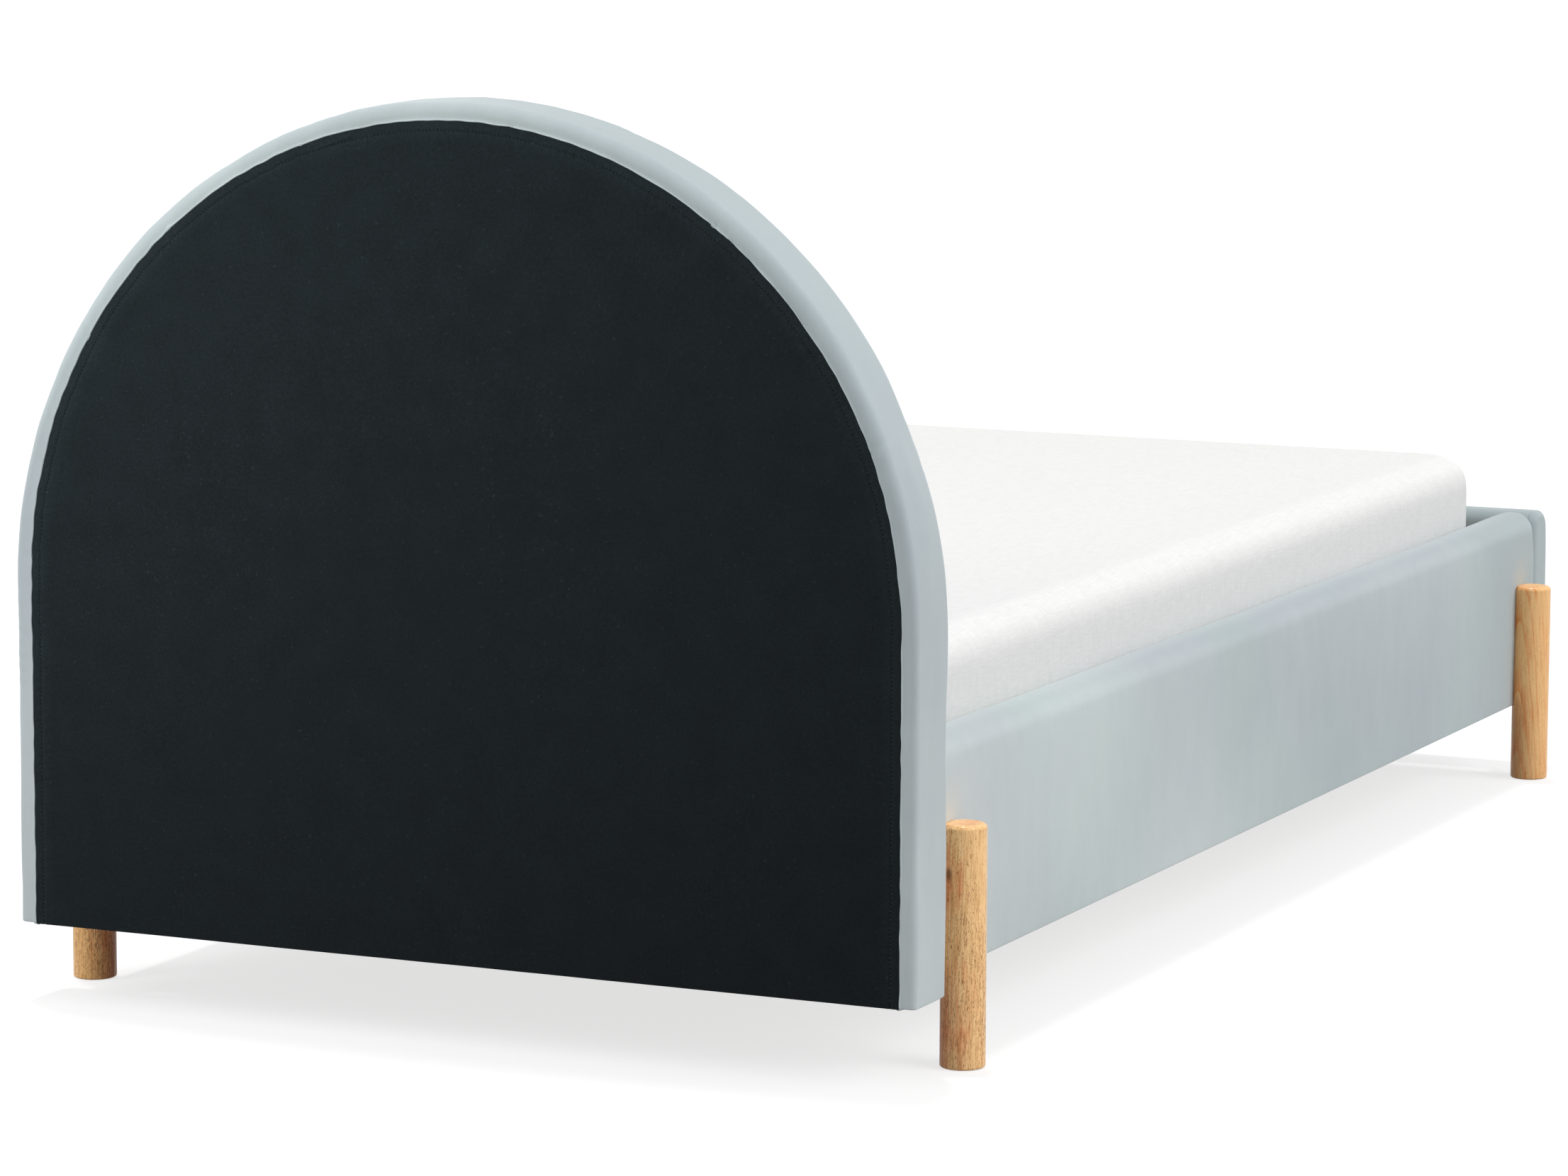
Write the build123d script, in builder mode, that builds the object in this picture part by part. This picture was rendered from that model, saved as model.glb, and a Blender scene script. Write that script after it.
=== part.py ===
from build123d import *
import os

# Kids bed: an arched upholstered headboard, two padded side rails, a padded footboard, four round
# wooden legs bolted outside the rails, a lift-out slatted base and a mattress.
# Millimetres, +Z up, X across the bed, the head end at +Y, the origin on the floor under the middle.

# Overall
overall_length = 2184.0
velvet_thickness = 1.5
fastener_clearance = 0.1
hole_clearance = 0.5

# Headboard
headboard_width = 1060.0
headboard_bottom = 88.0
headboard_thickness = 92.0
arch_centre_height = 462.0
headboard_back_edge_radius = 15.0
headboard_front_edge_radius = 18.0
back_cloth_thickness = 1.0
back_cloth_inset = 19.0
back_lap_under_cloth = 26.0
headboard_front_foam = 25.0
headboard_edge_foam = 8.0
headboard_back_foam = 2.0
front_board_thickness = 12.0
rim_width = 40.0
rim_back_edge_radius = 10.0
bottom_board_height = 95.0
middle_board_height = 60.0
middle_board_bottom = 330.0
centre_stile_width = 60.0
arch_rib_count = 4

# Side rails and footboard, which share one padded section
headboard_past_rail = 26.0
rail_thickness = 52.0
rail_bottom = 97.0
rail_top = 345.0
rail_board_thickness = 28.0
rail_top_foam = 20.0
rail_draw_in = 6.0
rail_draw_in_height = 75.0
rail_outer_edge_radius = 22.0
rail_inner_edge_radius = 18.0
footboard_thickness = 55.0
footboard_end_edge_radius = 9.0

# Legs and glides
leg_radius = 24.0
leg_top = 257.0
leg_notch_depth = 5.5
leg_top_edge_radius = 5.0
leg_bottom_edge_radius = 2.5
head_leg_from_headboard = 50.0
foot_leg_from_footboard = 66.0
glide_radius = 19.0
glide_thickness = 2.0
glide_stand_out = 0.5
glide_edge_chamfer = 0.4

# Corner brackets, bolts and threaded inserts
bracket_thickness = 4.0
bracket_height = 80.0
bracket_above_rail_bottom = 9.0
bracket_end_leaf = 60.0
bracket_past_bolt = 24.0
bracket_corner_radius = 8.0
bolt_edge_distance = 20.0
end_bolt_from_rail = 38.0
bolt_radius = 4.0
bolt_head_radius = 8.0
bolt_head_height = 4.5
bolt_head_edge_radius = 1.0
bolt_socket_radius = 3.0
bolt_socket_depth = 3.0
insert_radius = 6.2
headboard_insert_length = 18.0
footboard_insert_length = 20.0
leg_insert_length = 24.0
insert_tail = 1.5

# Ledges that carry the slats
ledge_width = 25.0
ledge_height = 40.0
ledge_above_bracket = 14.0
ledge_end_gap = 30.0
ledge_edge_chamfer = 2.0
ledge_screw_count = 7
ledge_screw_end_distance = 60.0
ledge_screw_radius = 2.5
ledge_screw_head_radius = 5.0
ledge_screw_head_height = 3.0
ledge_screw_length = 45.0

# Slatted base
slat_count = 14
slat_width = 70.0
slat_thickness = 18.0
slat_end_clearance = 3.0
slat_from_headboard = 22.0
slat_from_footboard = 22.0
slat_edge_radius = 2.5
webbing_width = 25.0
webbing_thickness = 1.2
webbing_from_slat_end = 179.0
webbing_past_slat = 12.0
webbing_screw_radius = 2.0
webbing_screw_length = 12.0
webbing_screw_head_radius = 4.5
webbing_screw_head_height = 1.8

# Mattress
mattress_height = 170.0
mattress_from_rail = 2.0
mattress_from_headboard = 4.0
mattress_from_footboard = 53.0
mattress_corner_radius = 68.0
mattress_top_edge_radius = 34.0
mattress_bottom_edge_radius = 16.0
mattress_side_draw_in = 2.0
mattress_crown = 4.0
mattress_crown_rim_share = 0.33
mattress_crown_middle_share = 0.67
mattress_crown_rim_rise_share = 0.75
mattress_cover_thickness = 3.0

# Places worked out from the sizes above
head_back_y = overall_length / 2
head_front_y = head_back_y - headboard_thickness
foot_outer_y = -overall_length / 2
foot_inner_y = foot_outer_y + footboard_thickness
rail_length = head_front_y - foot_inner_y
rail_face_x = headboard_width / 2 - headboard_past_rail
rail_inner_x = rail_face_x - rail_thickness
board_inner_x = rail_inner_x + velvet_thickness
board_outer_x = board_inner_x + rail_board_thickness
board_bottom = rail_bottom + velvet_thickness
board_top = rail_top - velvet_thickness - rail_top_foam
velvet_back_y = head_back_y - back_cloth_thickness
rim_back_y = velvet_back_y - velvet_thickness - headboard_back_foam
board_front_y = head_front_y + velvet_thickness + headboard_front_foam
rim_front_y = board_front_y + front_board_thickness
rim_depth = rim_back_y - rim_front_y
rim_inset = velvet_thickness + headboard_edge_foam
rim_bottom = headboard_bottom + rim_inset
rim_outer_radius = headboard_width / 2 - rim_inset
rim_inner_radius = rim_outer_radius - rim_width
leg_axis_x = rail_face_x + leg_radius - leg_notch_depth
head_leg_y = head_front_y - head_leg_from_headboard
foot_leg_y = foot_inner_y + foot_leg_from_footboard
bracket_bottom = rail_bottom + bracket_above_rail_bottom
bracket_top = bracket_bottom + bracket_height
bolt_heights = (bracket_bottom + bolt_edge_distance, bracket_top - bolt_edge_distance)
end_bolt_x = rail_inner_x - end_bolt_from_rail
ledge_top = bracket_top + ledge_above_bracket + ledge_height
slat_length = 2 * (rail_inner_x - slat_end_clearance)
webbing_x = slat_length / 2 - webbing_from_slat_end
mattress_bottom = ledge_top + slat_thickness
mattress_width = 2 * (rail_inner_x - mattress_from_rail)
mattress_length = rail_length - mattress_from_headboard - mattress_from_footboard
slat_pitch = (rail_length - slat_from_headboard - slat_from_footboard - slat_width) / (slat_count - 1)
slat_places = [
    head_front_y - slat_from_headboard - slat_width / 2 - index * slat_pitch for index in range(slat_count)
]
ledge_length = rail_length - 2 * ledge_end_gap
ledge_middle_y = (head_front_y + foot_inner_y) / 2
ledge_middle_z = ledge_top - ledge_height / 2
ledge_screw_pitch = (ledge_length - 2 * ledge_screw_end_distance) / (ledge_screw_count - 1)
ledge_screw_places = [
    ledge_middle_y - ledge_length / 2 + ledge_screw_end_distance + index * ledge_screw_pitch
    for index in range(ledge_screw_count)
]

sides = {"left": -1, "right": 1}
leg_places = {"head": head_leg_y, "foot": foot_leg_y}
on_base = (Align.CENTER, Align.CENTER, Align.MIN)
under_top = (Align.CENTER, Align.CENTER, Align.MAX)

os.makedirs("parts", exist_ok=True)


def save(builder, label):
    """Labels a finished piece and writes it as its own file."""
    builder.part.label = label
    export_step(builder.part, f"parts/{label}.step")


def arched_outline(inset, bottom):
    """The headboard's outline, a half circle over straight sides, drawn in by inset, down to bottom."""
    half_width = headboard_width / 2 - inset
    with BuildLine() as edge:
        Line((-half_width, arch_centre_height), (-half_width, bottom))
        Line((-half_width, bottom), (half_width, bottom))
        Line((half_width, bottom), (half_width, arch_centre_height))
        CenterArc((0, arch_centre_height), half_width, 0, 180)
    make_face(edge.edges())


def arch_point(radius, angle):
    """A point in the headboard's outline plane, by its distance and angle from the arch's centre."""
    return Vector(0, arch_centre_height) + Vector(radius, 0).rotate(Axis.Z, angle)


def headboard_body(inset, back_y, front_y, back_radius, front_radius):
    """A solid of the arched outline from back_y to front_y, rounded along its sides and its arch."""
    with BuildPart() as body:
        with BuildSketch(Plane.XZ.offset(-back_y)):
            arched_outline(inset, headboard_bottom + inset)
        extrude(amount=back_y - front_y)
        if back_radius > 0:
            fillet(body.faces().sort_by(Axis.Y)[-1].edges().sort_by(Axis.Z)[1:], back_radius)
        if front_radius > 0:
            fillet(body.faces().sort_by(Axis.Y)[0].edges().sort_by(Axis.Z)[1:], front_radius)
    return body.part


def padded_section(section, outer, inner, inset):
    """The section that the rails and the footboard share, between an outer and an inner face.

    The outer face is plumb where the legs sit and draws in above them to a rounded top.
    """
    direction = 1 if outer > inner else -1
    face = outer - direction * inset
    back = inner + direction * inset
    bottom = rail_bottom + inset
    top = rail_top - inset
    shoulder = face - direction * rail_draw_in
    draw_in_start = rail_top - rail_draw_in_height
    with BuildLine() as edge:
        Line((back, top), (back, bottom))
        Line((back, bottom), (face, bottom))
        Line((face, bottom), (face, draw_in_start))
        TangentArc((face, draw_in_start), (shoulder, top), tangent=(0, 1))
        Line((shoulder, top), (back, top))
    make_face(edge.edges())
    top_corners = section.vertices().group_by(Axis.Y)[-1].sort_by(Axis.X)
    fillet(top_corners[-1] if direction > 0 else top_corners[0], rail_outer_edge_radius - inset)
    top_corners = section.vertices().group_by(Axis.Y)[-1].sort_by(Axis.X)
    fillet(top_corners[0] if direction > 0 else top_corners[-1], rail_inner_edge_radius - inset)


def rail_body(side, inset):
    """One side rail's padded form, drawn in by inset all round and open-ended along its length."""
    with BuildPart() as body:
        with BuildSketch(Plane.XZ.offset(-head_front_y)) as section:
            padded_section(section, side * rail_face_x, side * rail_inner_x, inset)
        extrude(amount=rail_length)
    return body.part


def footboard_body(inset):
    """The footboard's padded form, drawn in by inset all round, with its two ends rounded."""
    with BuildPart() as body:
        with BuildSketch(Plane.YZ.offset(inset - rail_face_x)) as section:
            padded_section(section, foot_outer_y, foot_inner_y, inset)
        extrude(amount=2 * (rail_face_x - inset))
        for end in (0, -1):
            rim = body.faces().sort_by(Axis.X)[end].edges().group_by(Axis.Z)[1:]
            fillet([edge for group in rim for edge in group], footboard_end_edge_radius - inset)
    return body.part


def mattress_body(inset):
    """The mattress: rounded edges all round and a low crown over the middle of its top."""
    half_width = mattress_width / 2 - inset
    head_y = head_front_y - mattress_from_headboard - inset
    foot_y = head_y - mattress_length + 2 * inset
    middle_y = (head_y + foot_y) / 2
    bottom = mattress_bottom + inset
    top = mattress_bottom + mattress_height - inset
    draw_in = mattress_side_draw_in
    with BuildPart() as body:
        with BuildSketch(Plane.XY.offset(bottom)) as outline:
            with BuildLine():
                ThreePointArc((-half_width, head_y), (draw_in - half_width, middle_y), (-half_width, foot_y))
                ThreePointArc((-half_width, foot_y), (0, foot_y + draw_in), (half_width, foot_y))
                ThreePointArc((half_width, foot_y), (half_width - draw_in, middle_y), (half_width, head_y))
                ThreePointArc((half_width, head_y), (0, head_y - draw_in), (-half_width, head_y))
            make_face()
            fillet(outline.vertices(), mattress_corner_radius - inset)
        extrude(amount=top - bottom)
        fillet(body.faces().sort_by(Axis.Z)[-1].edges(), mattress_top_edge_radius - inset)
        fillet(body.faces().sort_by(Axis.Z)[0].edges(), mattress_bottom_edge_radius - inset)
        rises = (0, mattress_crown * mattress_crown_rim_rise_share, mattress_crown)
        rims = (
            mattress_top_edge_radius + mattress_side_draw_in,
            half_width * mattress_crown_rim_share,
            half_width * mattress_crown_middle_share,
        )
        for rise, rim in zip(rises, rims):
            with BuildSketch(Plane.XY.offset(top + rise)):
                with Locations((0, middle_y)):
                    RectangleRounded(
                        2 * (half_width - rim), head_y - foot_y - 2 * rim, mattress_corner_radius
                    )
        loft(ruled=True)
    return body.part


# Headboard, from the outside in
cover_outside = headboard_body(
    0, velvet_back_y, head_front_y, headboard_back_edge_radius, headboard_front_edge_radius
)
cover_inside = headboard_body(
    velvet_thickness,
    velvet_back_y - velvet_thickness,
    head_front_y + velvet_thickness,
    headboard_back_edge_radius - velvet_thickness,
    headboard_front_edge_radius - velvet_thickness,
)
rim_and_board = headboard_body(rim_inset, rim_back_y, board_front_y, rim_back_edge_radius, 0)
rim_envelope = headboard_body(rim_inset, rim_back_y, rim_front_y, rim_back_edge_radius, 0)
back_window_inset = back_cloth_inset + back_lap_under_cloth

with BuildPart() as headboard_bolt_holes:
    for side in sides.values():
        for height in bolt_heights:
            with Locations(Plane(origin=(side * end_bolt_x, head_front_y, height), z_dir=(0, 1, 0))):
                Cylinder(bolt_radius + hole_clearance, rim_front_y - head_front_y, align=on_base)

with BuildPart() as headboard_cover:
    add(cover_outside)
    add(cover_inside, mode=Mode.SUBTRACT)
    with BuildSketch(Plane.XZ.offset(-velvet_back_y)):
        arched_outline(back_window_inset, headboard_bottom + back_window_inset)
    extrude(amount=velvet_thickness, mode=Mode.SUBTRACT)
    add(headboard_bolt_holes.part, mode=Mode.SUBTRACT)
save(headboard_cover, "headboard_cover")

with BuildPart() as headboard_foam:
    add(cover_inside)
    add(rim_and_board, mode=Mode.SUBTRACT)
    with BuildSketch(Plane.XZ.offset(velvet_thickness - velvet_back_y)):
        arched_outline(back_window_inset, headboard_bottom + back_window_inset)
    extrude(amount=headboard_back_foam, mode=Mode.SUBTRACT)
    add(headboard_bolt_holes.part, mode=Mode.SUBTRACT)
save(headboard_foam, "headboard_foam")

with BuildPart() as headboard_back_cloth:
    with BuildSketch(Plane.XZ.offset(-head_back_y)):
        arched_outline(back_cloth_inset, headboard_bottom)
    extrude(amount=back_cloth_thickness)
save(headboard_back_cloth, "headboard_back_cloth")

with BuildPart() as headboard_front_board:
    with BuildSketch(Plane.XZ.offset(-rim_front_y)):
        arched_outline(rim_inset, rim_bottom)
    extrude(amount=front_board_thickness)
    add(headboard_bolt_holes.part, mode=Mode.SUBTRACT)
save(headboard_front_board, "headboard_front_board")

rib_angle = 180 / arch_rib_count
for index in range(arch_rib_count):
    start_angle = index * rib_angle
    with BuildPart() as arch_rib:
        add(rim_envelope)
        with BuildSketch(Plane.XZ.offset(-rim_back_y)):
            with BuildLine():
                CenterArc((0, arch_centre_height), headboard_width, start_angle, rib_angle)
                CenterArc((0, arch_centre_height), rim_inner_radius, start_angle, rib_angle)
                for angle in (start_angle, start_angle + rib_angle):
                    Line(arch_point(rim_inner_radius, angle), arch_point(headboard_width, angle))
            make_face()
        extrude(amount=rim_depth, mode=Mode.INTERSECT)
    save(arch_rib, f"headboard_arch_rib_{index + 1}")

for side_name, side in sides.items():
    with BuildPart() as post:
        add(rim_envelope)
        with BuildSketch(Plane.XZ.offset(-rim_back_y)):
            with Locations((side * (rim_outer_radius - rim_width / 2), rim_bottom)):
                Rectangle(rim_width, arch_centre_height - rim_bottom, align=(Align.CENTER, Align.MIN))
        extrude(amount=rim_depth, mode=Mode.INTERSECT)
    save(post, f"headboard_{side_name}_post")

with BuildPart() as headboard_bottom_board:
    add(rim_envelope)
    with BuildSketch(Plane.XZ.offset(-rim_back_y)):
        with Locations((0, rim_bottom)):
            Rectangle(2 * rim_inner_radius, bottom_board_height, align=(Align.CENTER, Align.MIN))
    extrude(amount=rim_depth, mode=Mode.INTERSECT)
    for side in sides.values():
        for height in bolt_heights:
            with Locations(Plane(origin=(side * end_bolt_x, rim_front_y, height), z_dir=(0, 1, 0))):
                Cylinder(
                    insert_radius + fastener_clearance,
                    headboard_insert_length + insert_tail,
                    align=on_base,
                    mode=Mode.SUBTRACT,
                )
save(headboard_bottom_board, "headboard_bottom_board")

with BuildPart() as headboard_middle_board:
    with BuildSketch(Plane.XZ.offset(-rim_back_y)):
        with Locations((0, middle_board_bottom)):
            Rectangle(2 * rim_inner_radius, middle_board_height, align=(Align.CENTER, Align.MIN))
    extrude(amount=rim_depth)
save(headboard_middle_board, "headboard_middle_board")

with BuildPart() as headboard_centre_stile:
    with BuildSketch(Plane.XZ.offset(-rim_back_y)):
        with Locations((0, arch_centre_height)):
            Circle(rim_inner_radius)
        with Locations((0, middle_board_bottom + middle_board_height)):
            Rectangle(
                centre_stile_width,
                headboard_width,
                align=(Align.CENTER, Align.MIN),
                mode=Mode.INTERSECT,
            )
    extrude(amount=rim_depth)
save(headboard_centre_stile, "headboard_centre_stile")

# Side rails
for side_name, side in sides.items():
    rail_outside = rail_body(side, 0)
    rail_inside = rail_body(side, velvet_thickness)

    with BuildPart() as leg_bolt_holes:
        for leg_y in leg_places.values():
            for height in bolt_heights:
                with Locations(Plane(origin=(side * rail_inner_x, leg_y, height), z_dir=(side, 0, 0))):
                    Cylinder(bolt_radius + hole_clearance, rail_thickness, align=on_base)

    with BuildPart() as ledge_screw_holes:
        for screw_y in ledge_screw_places:
            origin = (side * rail_inner_x, screw_y, ledge_middle_z)
            with Locations(Plane(origin=origin, z_dir=(side, 0, 0))):
                Cylinder(
                    ledge_screw_radius + fastener_clearance,
                    ledge_screw_length - ledge_width + insert_tail,
                    align=on_base,
                )

    with BuildPart() as rail_cover:
        add(rail_outside)
        add(rail_inside, mode=Mode.SUBTRACT)
        add(leg_bolt_holes.part, mode=Mode.SUBTRACT)
        add(ledge_screw_holes.part, mode=Mode.SUBTRACT)
    save(rail_cover, f"{side_name}_rail_cover")

    with BuildPart() as rail_board:
        with BuildSketch(Plane.XZ.offset(-head_front_y)):
            with Locations((side * (board_inner_x + board_outer_x) / 2, board_bottom)):
                Rectangle(
                    rail_board_thickness, board_top - board_bottom, align=(Align.CENTER, Align.MIN)
                )
        extrude(amount=rail_length)
        solid_board = rail_board.part
        add(leg_bolt_holes.part, mode=Mode.SUBTRACT)
        add(ledge_screw_holes.part, mode=Mode.SUBTRACT)
    save(rail_board, f"{side_name}_rail_board")

    with BuildPart() as rail_foam:
        add(rail_inside)
        add(solid_board, mode=Mode.SUBTRACT)
        add(leg_bolt_holes.part, mode=Mode.SUBTRACT)
    save(rail_foam, f"{side_name}_rail_foam")

    with BuildPart() as ledge:
        with Locations((side * (rail_inner_x - ledge_width / 2), ledge_middle_y, ledge_middle_z)):
            Box(ledge_width, ledge_length, ledge_height)
        inner_face = ledge.faces().sort_by(Axis.X)[0 if side > 0 else -1]
        chamfer(inner_face.edges().filter_by(Axis.Y), ledge_edge_chamfer)
        for screw_y in ledge_screw_places:
            origin = (side * (rail_inner_x - ledge_width), screw_y, ledge_middle_z)
            with Locations(Plane(origin=origin, z_dir=(side, 0, 0))):
                Cone(
                    ledge_screw_head_radius + fastener_clearance,
                    ledge_screw_radius + fastener_clearance,
                    ledge_screw_head_height,
                    align=on_base,
                    mode=Mode.SUBTRACT,
                )
                Cylinder(
                    ledge_screw_radius + fastener_clearance,
                    ledge_width,
                    align=on_base,
                    mode=Mode.SUBTRACT,
                )
    save(ledge, f"{side_name}_slat_ledge")

with BuildPart() as ledge_screws:
    for side in sides.values():
        for screw_y in ledge_screw_places:
            origin = (side * (rail_inner_x - ledge_width), screw_y, ledge_middle_z)
            with Locations(Plane(origin=origin, z_dir=(side, 0, 0))):
                Cone(ledge_screw_head_radius, ledge_screw_radius, ledge_screw_head_height, align=on_base)
                Cylinder(ledge_screw_radius, ledge_screw_length, align=on_base)
save(ledge_screws, "ledge_screws")

# Footboard
footboard_outside = footboard_body(0)
footboard_inside = footboard_body(velvet_thickness)
footboard_board_y = foot_inner_y - velvet_thickness
footboard_board_half_width = rail_face_x - footboard_end_edge_radius - velvet_thickness

with BuildPart() as footboard_bolt_holes:
    for side in sides.values():
        for height in bolt_heights:
            with Locations(Plane(origin=(side * end_bolt_x, foot_inner_y, height), z_dir=(0, -1, 0))):
                Cylinder(bolt_radius + hole_clearance, velvet_thickness, align=on_base)

with BuildPart() as footboard_cover:
    add(footboard_outside)
    add(footboard_inside, mode=Mode.SUBTRACT)
    add(footboard_bolt_holes.part, mode=Mode.SUBTRACT)
save(footboard_cover, "footboard_cover")

with BuildPart() as footboard_board:
    with BuildSketch(Plane.XZ.offset(-footboard_board_y)):
        with Locations((0, board_bottom)):
            Rectangle(
                2 * footboard_board_half_width, board_top - board_bottom, align=(Align.CENTER, Align.MIN)
            )
    extrude(amount=rail_board_thickness)
    solid_board = footboard_board.part
    for side in sides.values():
        for height in bolt_heights:
            with Locations(Plane(origin=(side * end_bolt_x, footboard_board_y, height), z_dir=(0, -1, 0))):
                Cylinder(
                    insert_radius + fastener_clearance,
                    footboard_insert_length + insert_tail,
                    align=on_base,
                    mode=Mode.SUBTRACT,
                )
save(footboard_board, "footboard_board")

with BuildPart() as footboard_foam:
    add(footboard_inside)
    add(solid_board, mode=Mode.SUBTRACT)
save(footboard_foam, "footboard_foam")

# Legs, which are cut flat where they lie against the rails, and their glides
for side_name, side in sides.items():
    for end_name, leg_y in leg_places.items():
        axis_x = side * leg_axis_x
        with BuildPart() as leg:
            with BuildSketch(Plane.XY.offset(glide_stand_out)):
                with Locations((axis_x, leg_y)):
                    Circle(leg_radius)
            extrude(amount=leg_top - glide_stand_out)
            fillet(leg.faces().sort_by(Axis.Z)[-1].edges(), leg_top_edge_radius)
            fillet(leg.faces().sort_by(Axis.Z)[0].edges(), leg_bottom_edge_radius)
            with BuildSketch(Plane.XY.offset(rail_bottom)):
                with Locations((side * (rail_face_x - leg_radius), leg_y)):
                    Rectangle(2 * leg_radius, 2 * leg_radius)
            extrude(amount=leg_top, mode=Mode.SUBTRACT)
            for height in bolt_heights:
                with Locations(Plane(origin=(side * rail_face_x, leg_y, height), z_dir=(side, 0, 0))):
                    Cylinder(
                        insert_radius + fastener_clearance,
                        leg_insert_length + insert_tail,
                        align=on_base,
                        mode=Mode.SUBTRACT,
                    )
            with Locations((axis_x, leg_y, glide_thickness)):
                Cylinder(
                    glide_radius + fastener_clearance,
                    glide_thickness,
                    align=under_top,
                    mode=Mode.SUBTRACT,
                )
        save(leg, f"{end_name}_{side_name}_leg")

        with BuildPart() as glide:
            with Locations((axis_x, leg_y, 0)):
                Cylinder(glide_radius, glide_thickness, align=on_base)
            chamfer(glide.faces().sort_by(Axis.Z)[0].edges(), glide_edge_chamfer)
        save(glide, f"{end_name}_{side_name}_glide")


def threaded_insert(length):
    """A ring that is screwed into wood and takes a bolt, its mouth at the base."""
    with BuildPart() as ring:
        Cylinder(insert_radius, length, align=on_base)
        Cylinder(bolt_radius + fastener_clearance, length, align=on_base, mode=Mode.SUBTRACT)
    return ring.part


def furniture_bolt(length):
    """A flat-headed bolt with a hexagon socket, its shank above its seat and its head below it."""
    with BuildPart() as bolt:
        Cylinder(bolt_radius, length, align=on_base)
        Cylinder(bolt_head_radius, bolt_head_height, align=under_top)
        fillet(bolt.faces().sort_by(Axis.Z)[0].edges(), bolt_head_edge_radius)
        with BuildSketch(Plane.XY.offset(-bolt_head_height)):
            RegularPolygon(bolt_socket_radius, 6)
        extrude(amount=bolt_socket_depth, mode=Mode.SUBTRACT)
    return bolt.part


# Inserts, brackets and bolts
leg_insert = threaded_insert(leg_insert_length)
headboard_insert = threaded_insert(headboard_insert_length)
footboard_insert = threaded_insert(footboard_insert_length)
leg_bolt = furniture_bolt(bracket_thickness + rail_thickness + leg_insert_length)
headboard_bolt = furniture_bolt(
    bracket_thickness + rim_front_y - head_front_y + headboard_insert_length
)
footboard_bolt = furniture_bolt(bracket_thickness + velvet_thickness + footboard_insert_length)

with BuildPart() as leg_inserts:
    for side in sides.values():
        for leg_y in leg_places.values():
            for height in bolt_heights:
                with Locations(Plane(origin=(side * rail_face_x, leg_y, height), z_dir=(side, 0, 0))):
                    add(leg_insert)
save(leg_inserts, "leg_inserts")

with BuildPart() as panel_inserts:
    for side in sides.values():
        for height in bolt_heights:
            with Locations(Plane(origin=(side * end_bolt_x, rim_front_y, height), z_dir=(0, 1, 0))):
                add(headboard_insert)
            with Locations(Plane(origin=(side * end_bolt_x, footboard_board_y, height), z_dir=(0, -1, 0))):
                add(footboard_insert)
save(panel_inserts, "panel_inserts")

with BuildPart() as corner_bolts:
    for side in sides.values():
        for leg_y in leg_places.values():
            for height in bolt_heights:
                seat = (side * (rail_inner_x - bracket_thickness), leg_y, height)
                with Locations(Plane(origin=seat, z_dir=(side, 0, 0))):
                    add(leg_bolt)
        for height in bolt_heights:
            seat = (side * end_bolt_x, head_front_y - bracket_thickness, height)
            with Locations(Plane(origin=seat, z_dir=(0, 1, 0))):
                add(headboard_bolt)
            seat = (side * end_bolt_x, foot_inner_y + bracket_thickness, height)
            with Locations(Plane(origin=seat, z_dir=(0, -1, 0))):
                add(footboard_bolt)
save(corner_bolts, "corner_bolts")

end_faces = {
    "head": (head_front_y, -1, head_leg_from_headboard),
    "foot": (foot_inner_y, 1, foot_leg_from_footboard),
}
for side_name, side in sides.items():
    for end_name, (face_y, into_bed, leg_distance) in end_faces.items():
        rail_leaf_length = leg_distance + bracket_past_bolt
        leaf_middle_x = side * (rail_inner_x - bracket_thickness / 2)
        leg_y = leg_places[end_name]
        with BuildPart() as bracket:
            with BuildSketch(Plane.XY.offset(bracket_bottom)):
                with Locations((leaf_middle_x, face_y + into_bed * rail_leaf_length / 2)):
                    Rectangle(bracket_thickness, rail_leaf_length)
                with Locations(
                    (side * (rail_inner_x - bracket_end_leaf / 2), face_y + into_bed * bracket_thickness / 2)
                ):
                    Rectangle(bracket_end_leaf, bracket_thickness)
            extrude(amount=bracket_height)
            rail_leaf_end = bracket.faces().sort_by(Axis.Y)[0 if into_bed < 0 else -1]
            fillet(rail_leaf_end.edges().filter_by(Axis.X), bracket_corner_radius)
            end_leaf_end = bracket.faces().sort_by(Axis.X)[-1 if side < 0 else 0]
            fillet(end_leaf_end.edges().filter_by(Axis.Y), bracket_corner_radius)
            for height in bolt_heights:
                with Locations(
                    Plane(origin=(side * rail_inner_x, leg_y, height), z_dir=(-side, 0, 0)),
                    Plane(origin=(side * end_bolt_x, face_y, height), z_dir=(0, into_bed, 0)),
                ):
                    Cylinder(
                        bolt_radius + fastener_clearance,
                        bracket_thickness,
                        align=on_base,
                        mode=Mode.SUBTRACT,
                    )
        save(bracket, f"{end_name}_{side_name}_corner_bracket")

# Slatted base
webbing_places = (-webbing_x, webbing_x)
for index, slat_y in enumerate(slat_places):
    with BuildPart() as slat:
        with Locations((0, slat_y, ledge_top)):
            Box(slat_length, slat_width, slat_thickness, align=on_base)
        fillet(slat.edges().filter_by(Axis.X), slat_edge_radius)
        with Locations(*((x, slat_y, ledge_top) for x in webbing_places)):
            Cylinder(
                webbing_screw_radius + fastener_clearance,
                webbing_screw_length + insert_tail,
                align=on_base,
                mode=Mode.SUBTRACT,
            )
    save(slat, f"slat_{index + 1:02d}")

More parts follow.
